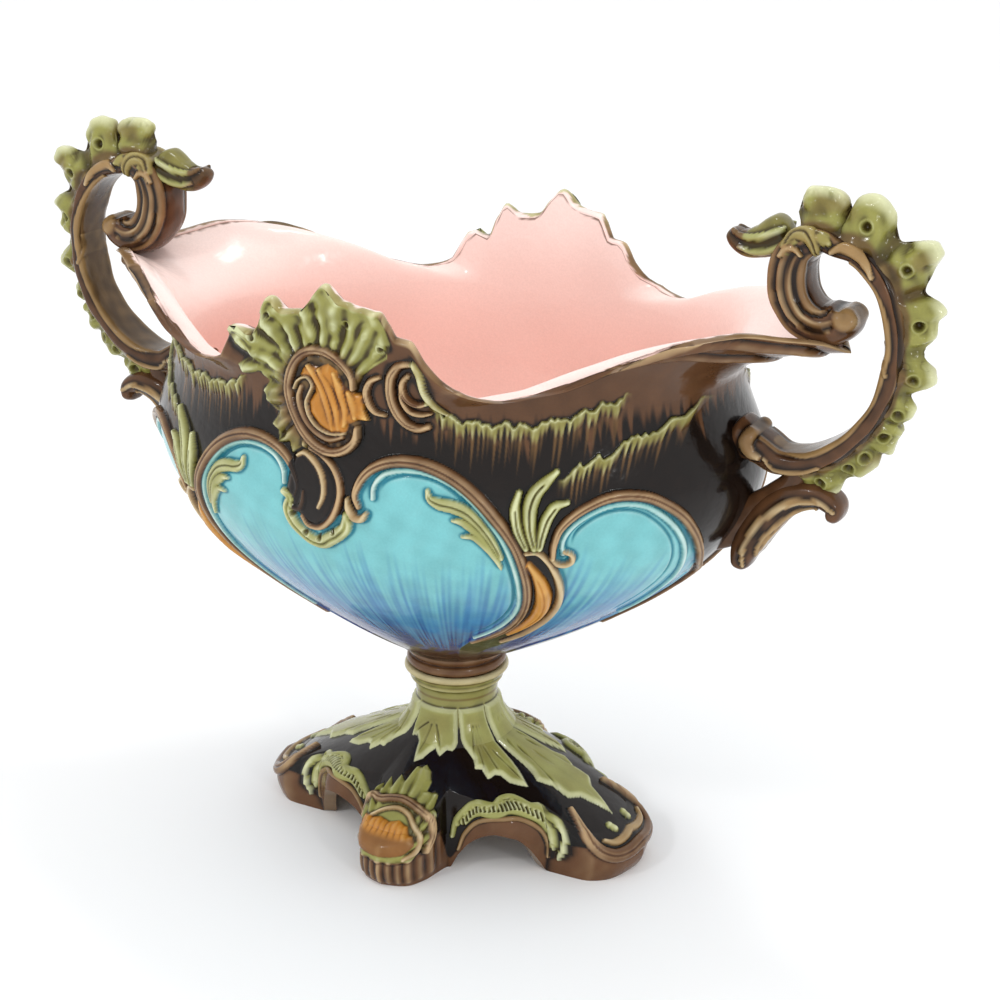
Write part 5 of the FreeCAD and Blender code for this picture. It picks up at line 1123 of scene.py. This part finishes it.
SEAT = (203.0, 306.96)
ROOT_SHIFT = (-5.88, 0.04)
SCROLL_LINE = [(-36.0, -51.0, 24.0), (-23.0, -54.5, 16.0), (-13.0, -59.5, 14.0),
               (-2.0, -59.0, 13.0), (9.0, -54.5, 12.0), (19.0, -47.0, 11.0),
               (28.0, -37.0, 10.5), (34.5, -26.0, 10.0), (38.0, -15.0, 10.0),
               (39.5, -3.0, 10.0), (39.3, 9.0, 10.0), (37.0, 21.0, 10.0),
               (32.5, 32.0, 10.0), (25.5, 41.0, 10.0), (16.0, 47.5, 10.0),
               (5.0, 50.2, 10.5), (0.0, 52.0, 12.0), (-7.0, 51.0, 16.0),
               (-13.0, 47.0, 18.5), (-16.5, 39.5, 20.5), (-17.0, 30.5, 21.5),
               (-14.5, 21.5, 22.0), (-8.5, 14.0, 22.0), (0.0, 11.0, 21.0),
               (8.0, 13.0, 20.0), (13.0, 17.5, 17.0), (14.5, 21.5, 10.0)]
PULLED_POINTS = 15
CREST_EDGE = [(0.105, 0.8), (0.124, 3.8), (0.151, 9.9), (0.175, 13.6), (0.199, 8.7),
              (0.226, 11.9), (0.249, 12.0), (0.268, 9.0), (0.280, 12.3), (0.300, 9.9),
              (0.319, 9.6), (0.324, 6.8), (0.345, 9.9), (0.354, 9.9), (0.375, 5.0),
              (0.395, 12.5), (0.404, 15.1), (0.420, 13.0), (0.447, 6.3), (0.474, 12.9),
              (0.492, 13.8), (0.505, 18.2), (0.520, 15.4), (0.537, 10.5), (0.559, 18.6),
              (0.570, 25.3), (0.580, 25.8), (0.607, 12.0), (0.620, 15.0), (0.631, 20.6),
              (0.648, 23.6), (0.662, 21.0), (0.682, 14.5), (0.688, 12.3), (0.705, 18.2),
              (0.720, 17.8), (0.735, 8.0)]
CREST_FOOT = 0.30       # share of the scroll's width at which the crest's foot lies
CREST_HALF = (8.5, 2.5)  # half the crest's thickness at its foot and at its edge
CREST_ROUND = 0.22      # share of its reach over which the edge is rounded off
DIMPLES = [(0.165, 5.0), (0.215, 4.5), (0.25, 5.0), (0.298, 4.0), (0.341, 4.0), (0.404, 5.5),
           (0.491, 6.0), (0.572, 8.5), (0.645, 9.0)]
BEAK_LINE = [(-12.0, 55.0, 18.0), (-24.0, 52.0, 19.0), (-33.0, 47.5, 16.0),
             (-41.0, 46.0, 13.0), (-46.0, 48.5, 10.0), (-48.5, 52.5, 6.0)]
BRACKET_LINE = [(16.0, -88.0, 7.0), (17.0, -80.0, 10.0), (10.0, -75.5, 12.0),
                (-2.0, -77.0, 15.0), (-13.0, -85.0, 17.0), (-22.0, -97.0, 17.0),
                (-29.0, -111.0, 14.0), (-31.0, -121.0, 8.0)]
BRACKET_STEM = [(-3.0, -60.0, 12.0), (-5.0, -70.0, 13.0), (-13.0, -80.0, 16.0),
                (-26.0, -91.0, 20.0), (-40.0, -99.0, 24.0), (-52.0, -104.0, 24.0)]


def placed_line(line, pulled=None):
    """A handle's middle line in place; the root draws the points near it along."""
    line = np.array(line, float)
    pull = 1.0 if pulled is None else 1.0 - clamp01(np.arange(len(line)) / float(pulled))
    line[:, 0] += SEAT[0] + ROOT_SHIFT[0] * pull
    line[:, 1] += SEAT[1] + ROOT_SHIFT[1] * pull
    return line


def spread(line, count):
    """Even samples of a (x, z, width) line, and the unit vectors to its left."""
    flat = np.c_[line[:, 0], line[:, 1], np.zeros(len(line)), line[:, 2:]]
    samples = along(flat, count)
    way = np.gradient(samples[:, :2], axis=0)
    way /= np.linalg.norm(way, axis=1, keepdims=True)
    return samples[:, :2], samples[:, 3], np.stack([-way[:, 1], way[:, 0]], -1)


def on_side(x, z):
    """The place at that x and height in the plane through the handles' middles."""
    return np.stack([x, 0 * np.asarray(x, float), z], -1)


def limb(line, half_depth, tip_depth, count, round_, corner=0.72, taper=(0.0, 0.03)):
    """A bar along a line: each section is a rounded oblong, width by depth, whose cosine and
    sine are raised to a power; the ends are drawn in."""
    middle, width, left = spread(line, count)
    share = np.linspace(0, 1, count)
    ends = np.sqrt(clamp01(1.0 - clamp01((taper[0] - share) / max(taper[0], 1e-6)) ** 2))
    ends *= np.sqrt(clamp01(1.0 - clamp01((share - 1.0 + taper[1]) / max(taper[1], 1e-6)) ** 2))
    angle = np.linspace(0, -2 * math.pi, round_, endpoint=False)[None]
    c = np.sign(np.cos(angle)) * np.abs(np.cos(angle)) ** corner
    s = np.sign(np.sin(angle)) * np.abs(np.sin(angle)) ** corner
    wide = 0.5 * (width * ends)[:, None] * c
    deep = (blend(half_depth, tip_depth, share) * ends)[:, None] * s
    x = middle[:, :1] + left[:, :1] * wide
    z = middle[:, 1:] + left[:, 1:] * wide
    return np.stack([x, deep, z], -1)


def handle_skin(points, glaze):
    """A limb's skin, whose ornament is laid on both of its flat faces and fades round the
    edges."""
    skin = Skin(points, points[..., [0, 2]], on_side, glaze, wrap=True,
                spots=points * [1.0, 0.0, 1.0])
    sidewise = np.abs(skin.normals[..., 1])
    skin.share = smooth(sidewise / 0.55).ravel()
    return skin


def both_handles(name, fired_and_shaded):
    """Both handles' piece of that name from fired skins, whose colour holds painted shade and
    highlight; the left mirrors the right.
    """
    for side, way in (("right", 1), ("left", -1)):
        flip = [way, 1.0, 1.0]
        grids = [(raised[::way] * flip, normals[::way] * flip, colour[::way], True, (0, -1))
                 for raised, normals, colour in fired_and_shaded]
        mesh_piece("%s_%s" % (side, name), grids, GLAZE, ["%s_handle_%s" % (side, name)])


# lines on a handle's faces, in mm out from the middle of the bowl and up
SPINE_LINE = [(178.1, 262.4), (183.7, 257.1), (191.7, 254.0), (200.8, 254.6), (210.2, 259.1),
              (219.4, 266.9), (228.2, 278.5), (234.0, 290.4), (237.0, 302.3), (238.6, 313.2),
              (237.4, 323.2), (234.6, 331.3), (230.4, 338.8), (224.6, 346.0), (217.4, 351.0)]
SPINE_GROOVE = [(177.6, 244.4), (188.3, 241.6), (198.2, 242.5), (207.7, 246.7), (217.0, 253.5),
                (226.1, 262.0), (233.6, 271.5), (239.0, 281.4), (243.1, 292.4), (244.4, 304.4),
                (243.8, 318.8), (241.4, 330.0), (238.0, 340.0), (232.4, 349.0), (225.0, 356.2),
                (217.0, 359.6), (206.9, 360.4)]
SPINE_BUD = [(208.5, 355.7), (213.3, 358.0), (219.8, 356.0), (225.8, 350.8), (228.9, 345.6)]
INNER_BUD = [(236.1, 315.5), (234.9, 309.8), (236.6, 305.1), (238.4, 299.6)]
ROOT_BUD = [(176.6, 264.1), (171.8, 260.4), (170.4, 255.9), (173.0, 251.8), (177.0, 250.3)]
ROOT_LINE = [(180.0, 249.6), (184.2, 245.4), (190.9, 244.5), (200.0, 245.9), (207.6, 249.0)]
VOLUTE_LEAF = [(185.2, 355.8), (189.8, 362.0), (196.2, 362.6), (199.9, 358.6), (200.9, 352.2)]
VOLUTE_SMALL = [(183.5, 350.9), (187.0, 355.0), (190.8, 355.3), (193.4, 352.7)]
VOLUTE_LINES = [[(181.7, 334.8), (183.7, 327.5), (187.8, 321.5), (193.5, 317.0)],
                [(192.6, 329.9), (195.6, 326.2), (200.2, 324.2), (205.3, 324.6), (209.6, 328.5)],
                [(194.5, 319.9), (200.5, 316.6), (206.3, 317.0), (211.2, 320.7)],
                [(196.8, 346.7), (197.9, 339.8), (201.1, 333.6), (206.6, 330.0)]]
KNOB = (217.2, 324.9)
BEAK_RIDGES = [[(182.5, 363.0), (174.0, 359.0), (166.5, 357.0), (160.4, 357.0), (156.4, 359.0)],
               [(186.0, 357.6), (177.0, 352.2), (168.0, 350.2), (160.0, 351.8)]]
BRACKET_RIDGES = [[(169.6, 190.3), (169.4, 197.1), (172.4, 205.9), (178.0, 215.0), (184.8, 221.9),
                   (193.1, 227.4), (200.9, 229.9), (209.4, 230.1), (215.2, 226.5)],
                  [(206.4, 226.5), (199.3, 224.3), (193.0, 220.2), (186.4, 213.4),
                   (180.3, 206.0), (176.6, 198.0), (175.7, 191.8)]]


def beside(line, first, last, offset, count=40):
    """Part of a line between two shares of its length, moved over by a share of its width."""
    middle, width, left = spread(line, 1201)
    at = np.linspace(first * 1200, last * 1200, count).round().astype(int)
    return on_side(*(middle[at] + left[at] * (offset * width[at])[:, None]).T)


def handle_scroll():
    """The brown scroll: ridges along its volute, two lines down its spine, buds and a knob."""
    line = placed_line(SCROLL_LINE, PULLED_POINTS)
    root = line[:1] + [[-3.0, 0.8, 0.0]]
    points = limb(np.concatenate([root, line]), 12.5, 12.5, 560, 72, taper=(0.022, 0.035))
    skin = handle_skin(points, BROWN)
    for first, last, offset, width in ((0.645, 0.93, -0.34, 3.4), (0.70, 0.95, -0.10, 2.6),
                                       (0.76, 0.96, 0.12, 2.4), (0.70, 0.97, 0.36, 3.2)):
        ridge = beside(line, first, last, offset)
        skin.rib(ridge, [1.2, width, width, 1.4], [0.5, 1.5, 1.5, 0.6], blend(BROWN, TAN, 0.4))
    for share, size in ((0.70, 5.4), (0.755, 4.6)):
        bud = beside(line, share - 0.012, share + 0.018, -0.16, 8)
        skin.rib(bud, [2.0, size, size, 2.0], 1.8, blend(GREEN, TAN, 0.3))
    for offset in (-0.44, 0.42):
        skin.rib(beside(line, 0.05, 0.60, offset, 90), [1.2, 2.2, 2.2, 1.2], 0.8,
                 blend(BROWN, TAN, 0.5))
    skin.rib(SPINE_LINE, [2.0, 3.6, 3.8, 3.6, 3.4, 3.0, 2.0], 1.1, TAN)
    skin.groove(SPINE_GROOVE, 2.6, 1.5, pooled_and_shaded(BROWN), 0.9)
    skin.rib(ROOT_LINE, [1.6, 2.4, 2.6, 2.4, 1.6], 1.2, TAN)
    skin.rib(ROOT_BUD, [4.0, 7.0, 8.0, 7.0, 4.0], 2.4, blend(BROWN, TAN, 0.6))
    skin.rib(SPINE_BUD, [2.6, 5.0, 5.2, 4.0, 2.0], 1.8, TAN)
    skin.rib(INNER_BUD, [2.0, 3.4, 3.2, 1.8], 1.3, TAN)
    skin.rib(VOLUTE_LEAF, [4.0, 7.0, 8.0, 7.0, 3.6], 2.2, blend(GREEN, TAN, 0.5))
    skin.groove(VOLUTE_LEAF, 1.6, 0.9)
    skin.rib(VOLUTE_SMALL, [2.0, 3.6, 3.8, 2.4], 2.4, TAN)
    for route in VOLUTE_LINES:
        skin.groove(route, 2.4, 1.3, pooled_and_shaded(BROWN), 0.7)
    far = np.hypot(*(skin.flat - KNOB).T)
    index = np.nonzero(far < 9.0)[0]
    off = far[index] / 8.0
    skin.height[index] += 1.6 * smooth((1.0 - off) / 0.6)
    skin.tint(index, 0.8 * smooth((1.0 - off) / 0.4), TAN)
    skin.height += 0.3 * ripple(skin.points.reshape(-1, 3), 16.0, 91)
    fired_and_shaded = skin.fired_and_shaded(rounds=(9, 5), strength=1.1, rest=0.30)
    both_handles("scroll", [fired_and_shaded])


def handle_crest():
    """The toothed crest: each ring runs from the foot in one face, round the toothed edge and
    back in the other; the thickness falls from the foot to the edge and rounds off there."""
    middle, width, left = spread(placed_line(SCROLL_LINE, PULLED_POINTS), 2401)
    first, last = CREST_EDGE[0][0], CREST_EDGE[-1][0]
    shares = np.linspace(first, last, 620)
    at = (shares * 2400).round().astype(int)
    middle, width, left = middle[at], width[at], left[at]
    edge = steady(CREST_EDGE)(shares)
    even = softened(edge[:, None], (700, 0), (False, False))[:, 0]
    lean = softened((edge - even)[:, None], (6, 0), (False, False))[:, 0]
    foot = CREST_FOOT * width
    tip = 0.5 * width + edge
    across = np.linspace(-1.0, 1.0, 75)
    out_share = 1.0 - np.abs(across)
    out = blend(foot[:, None], tip[:, None], out_share[None] ** 0.9)
    run = (out - foot[:, None]) / (tip - foot)[:, None]
    tail = (1.0 - run) / CREST_ROUND
    rounded = np.where(tail < 1.0, clamp01(2.0 * tail - tail ** 2), 1.0)
    thick = blend(*CREST_HALF, run) * np.sqrt(rounded)
    fold = 0.42 * lean[:, None] * smooth(run / 0.7)
    thick = np.maximum(thick + np.clip(fold, -2.0, 2.0) * (thick > 0.6), 0.0)
    x = middle[:, :1] - left[:, :1] * out
    z = middle[:, 1:] - left[:, 1:] * out
    points = np.stack([x, np.sign(across)[None] * thick, z], -1)
    skin = handle_skin(points, GREEN)
    # a ring's two feet lie apart inside the scroll, so no normal is taken across them
    skin.wrap = False
    skin.normals = grid_normals(points, False)
    for share, reach in DIMPLES:
        i = int(round((share - first) / (last - first) * (len(shares) - 1)))
        spot = middle[i] - left[i] * (0.5 * width[i] + reach)
        skin.dimple(spot, 2.7, 2.4, pooled_and_shaded(GREEN))
    skin.wash(0.8 * smooth((0.34 - run) / 0.16).ravel(), BROWN)
    skin.height += 0.9 * ripple(points.reshape(-1, 3), 8.0, 95) * skin.share
    # painted shade: the crest is darker behind each notch between its teeth
    valley = smooth(-lean[:, None] / 5.0 + 0 * run).ravel()
    skin.wash(0.75 * valley, blend(GREEN[:1], DRIP[:1], 0.5))
    skin.wash(0.5 * smooth(ripple(points.reshape(-1, 3), 19.0, 96)), DRIP)
    # painted highlight: the crest is paler over its outer edge, except behind the notches
    tips = smooth((run - 0.72) / 0.25) * smooth((lean[:, None] + 2.0) / 5.0)
    skin.wash(0.8 * tips.ravel(), LEAF[[1, 2, 2]])
    fired_and_shaded = skin.fired_and_shaded(rounds=(8, 5), strength=1.1, rest=0.10)
    both_handles("crest", [fired_and_shaded])


def handle_leaves():
    """The leaf over the volute and the bracket's two arms under the root."""
    skin = handle_skin(limb(placed_line(BEAK_LINE, 1), 10.0, 5.6, 180, 56, taper=(0.16, 0.08)),
                       blend(GREEN, BROWN, 0.25))
    for route in BEAK_RIDGES:
        skin.rib(route, [2.0, 3.6, 3.8, 3.0, 1.8], 1.5, LEAF)
    share = np.linspace(0, 1, 180).repeat(56)
    skin.wash(0.9 * smooth((share - 0.62) / 0.16), BROWN)
    fired_and_shaded = skin.fired_and_shaded(rounds=(6, 4), strength=1.0, rest=0.25)
    both_handles("beak_leaf", [fired_and_shaded])
    arms = []
    for line, depth, count in ((BRACKET_LINE, 9.0, 270), (BRACKET_STEM, 6.25, 200)):
        skin = handle_skin(limb(placed_line(line), depth, depth, count, 52, taper=(0.05, 0.05)),
                           BROWN)
        for route in BRACKET_RIDGES:
            skin.rib(route, [1.8, 3.2, 3.8, 3.8, 3.4, 2.4], 1.5, TAN)
            skin.groove(route, 1.2, 0.7)
        arms.append(skin.fired_and_shaded(rounds=(6, 4), strength=1.0, rest=0.25))
    both_handles("bracket", arms)


# ------------------------------------------------------------ materials

class Wire:
    """A socket that can be reckoned with: each sum or product adds a Math node."""

    def __init__(self, nodes, socket):
        self.nodes, self.socket = nodes, socket

    def math(self, operation, *values):
        return self.nodes.add("ShaderNodeMath", {"operation": operation},
                              dict(enumerate(values)))

    def __add__(self, other):
        return self.math("ADD", self, other)

    def __sub__(self, other):
        return self.math("SUBTRACT", self, other)

    def __rsub__(self, other):
        return self.math("SUBTRACT", other, self)

    def __mul__(self, other):
        return self.math("MULTIPLY", self, other)

    __radd__, __rmul__ = __add__, __mul__


class Nodes:
    """The nodes of a material or of the world."""

    def __init__(self, tree):
        self.tree = tree

    def add(self, kind, settings, inputs, output=0):
        """A node of that type, its settings first and then its inputs' values or wires."""
        node = self.tree.nodes.new(kind)
        for key, value in settings.items():
            setattr(node, key, value)
        for key, value in inputs.items():
            self.feed(node.inputs[key], value)
        return Wire(self, node.outputs[output]) if len(node.outputs) else None

    def feed(self, socket, value):
        if isinstance(value, Wire):
            self.tree.links.new(value.socket, socket)
        else:
            socket.default_value = value


class Finish(Nodes):
    """A material's nodes round one Principled shader."""

    def __init__(self, name, **constants):
        self.material = bpy.data.materials.new(name)
        self.material.use_nodes = True
        super().__init__(self.material.node_tree)
        self.shader = self.tree.nodes["Principled BSDF"]
        for socket, value in constants.items():
            self.set(socket.replace("_", " "), value)

    def set(self, socket, value):
        self.feed(self.shader.inputs[socket], value)

    def noise(self, scale, detail=2.0):
        place = self.add("ShaderNodeTexCoord", {}, {}, "Object")
        return self.add("ShaderNodeTexNoise", {}, {"Vector": place, "Scale": scale,
                                                    "Detail": detail})

    def between(self, factor, low, high):
        """A colour between two, by a factor."""
        return self.add("ShaderNodeMix", {"data_type": "RGBA"},
                        {"Factor": factor, 6: (*low, 1.0), 7: (*high, 1.0)}, 2)

    def bump(self, height, distance):
        self.set("Normal", self.add("ShaderNodeBump", {}, {"Height": height,
                                                            "Distance": distance,
                                                            "Strength": 1.0}))


def glaze_finish():
    """Fired lead glaze: colour painted on the surface with fine mottling, a wet gloss that
    varies a little, and the slight pull of the glaze."""
    finish = Finish("glaze", Specular_IOR_Level=0.2, Coat_Weight=0.16, Coat_Roughness=0.02)
    paint = finish.add("ShaderNodeAttribute", {"attribute_name": "glaze"}, {}, "Color")
    mottle = finish.noise(900.0, 3.0) * 0.16 + 0.92
    shade = finish.add("ShaderNodeCombineXYZ", {}, {0: mottle, 1: mottle, 2: mottle})
    finish.set("Base Color", finish.add("ShaderNodeVectorMath", {"operation": "MULTIPLY"},
                                        {0: paint, 1: shade}))
    finish.set("Roughness", finish.noise(160.0) * 0.12 + 0.12)
    finish.bump(finish.noise(140.0, 2.0), 0.00035)
    return finish.material


def brass_finish():
    """Brass that has dulled in patches."""
    finish = Finish("brass", Metallic=1.0)
    dull = finish.noise(420.0, 4.0)
    finish.set("Base Color", finish.between(dull, (0.62, 0.43, 0.16), (0.40, 0.26, 0.10)))
    finish.set("Roughness", dull * 0.3 + 0.22)
    finish.bump(finish.noise(1500.0), 0.00005)
    return finish.material


def cork_finish():
    """Pressed cork and rubber crumbs."""
    finish = Finish("cork_rubber")
    crumbs = finish.noise(1300.0, 5.0)
    finish.set("Base Color", finish.between(crumbs, (0.10, 0.055, 0.03), (0.30, 0.19, 0.11)))
    finish.set("Roughness", crumbs * 0.2 + 0.7)
    finish.bump(crumbs, 0.0002)
    return finish.material


BRASS_NODES = ("tie_rod", "stem_nut", "cap_nut", "stem_washer", "floor_washer")
CORK_NODES = ("joint_gasket", "floor_gasket", "stem_gasket")


def dress_hardware():
    """The tie rod, its nuts and washers are brass; the rings they press are cork and rubber."""
    for names, material in ((BRASS_NODES, brass_finish()), (CORK_NODES, cork_finish())):
        for name in names:
            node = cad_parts[name]
            if not node.material_slots:
                node.data.materials.append(material)
            for holder in node.material_slots:
                holder.link = "OBJECT"
                holder.material = material


# ------------------------------------------------------------ floor, light and camera

FLOOR_SIZE = 12.0
WHITE = (1.0, 1.0, 1.0, 1.0)
SEEN_LIGHT, CAST_LIGHT = 1.0, 1.04
AIM = (0.0, 0.0, 0.2)
LAMPS = (("key", (-0.5, -1.6, 1.5), (0.13, 0.20), 5.0),
         ("side", (1.5, -0.9, 0.9), (0.07, 0.34), 3.0),
         ("top", (0.1, 0.4, 1.9), (0.34, 0.24), 4.0))
CAMERA_PLACE = (0.5232, -0.9215, 0.5791)
CAMERA_DOWN, CAMERA_TURN = 20.011, 28.285       # degrees below level, and round from the front
LENS, SENSOR = 75.15, 36.0


def lay_floor():
    """A pale floor that keeps the shadow."""
    bpy.ops.mesh.primitive_plane_add(size=FLOOR_SIZE, location=(0, 0, 0))
    floor = bpy.context.object
    floor.name = "floor"
    paint = Finish("floor", Roughness=0.85, Specular_IOR_Level=0.1)
    paint.set("Base Color", paint.between(paint.noise(3.0), (0.965, 0.965, 0.97),
                                          (0.98, 0.98, 0.98)))
    floor.data.materials.append(paint.material)


def light_world():
    """A world that looks white to the camera, to mirrored rays and to rays let through."""
    world = bpy.data.worlds.new("studio")
    bpy.context.scene.world = world
    world.use_nodes = True
    world.node_tree.nodes.clear()
    nodes = Nodes(world.node_tree)
    camera, glossy, through = [nodes.add("ShaderNodeLightPath", {}, {}, "Is %s Ray" % kind)
                               for kind in ("Camera", "Glossy", "Transmission")]
    cast, seen = [nodes.add("ShaderNodeBackground", {}, {"Color": WHITE, "Strength": strength})
                  for strength in (CAST_LIGHT, SEEN_LIGHT)]
    mix = nodes.add("ShaderNodeMixShader", {}, {0: camera + glossy + through, 1: cast, 2: seen})
    nodes.add("ShaderNodeOutputWorld", {}, {"Surface": mix})


def hang_lamps():
    """Three soft lamps that face the bowl."""
    for name, place, size, power in LAMPS:
        lamp = bpy.data.lights.new(name, "AREA")
        lamp.shape, lamp.size, lamp.size_y, lamp.energy = "RECTANGLE", size[0], size[1], power
        holder = bpy.data.objects.new(name, lamp)
        holder.location = place
        way = np.array(AIM) - place
        yaw, pitch = math.atan2(-way[0], way[1]), math.atan2(way[2], math.hypot(way[0], way[1]))
        holder.rotation_euler = (math.pi / 2 + pitch, 0.0, yaw)
        bpy.context.scene.collection.objects.link(holder)


def set_camera():
    """The camera, in front of the bowl, to its right and above it."""
    camera = bpy.data.cameras.new("camera")
    camera.lens, camera.sensor_width = LENS, SENSOR
    holder = bpy.data.objects.new("camera", camera)
    holder.location = CAMERA_PLACE
    holder.rotation_euler = (math.radians(90.0 - CAMERA_DOWN), 0.0, math.radians(CAMERA_TURN))
    bpy.context.scene.collection.objects.link(holder)
    bpy.context.scene.camera = holder
    bpy.context.scene.view_settings.view_transform = "Standard"


GLAZE = glaze_finish()
bowl_outside()
bowl_inside()
bowl_foot()
stand_outside()
stand_underside()
handle_scroll()
handle_crest()
handle_leaves()
dress_hardware()
lay_floor()
light_world()
hang_lamps()
set_camera()
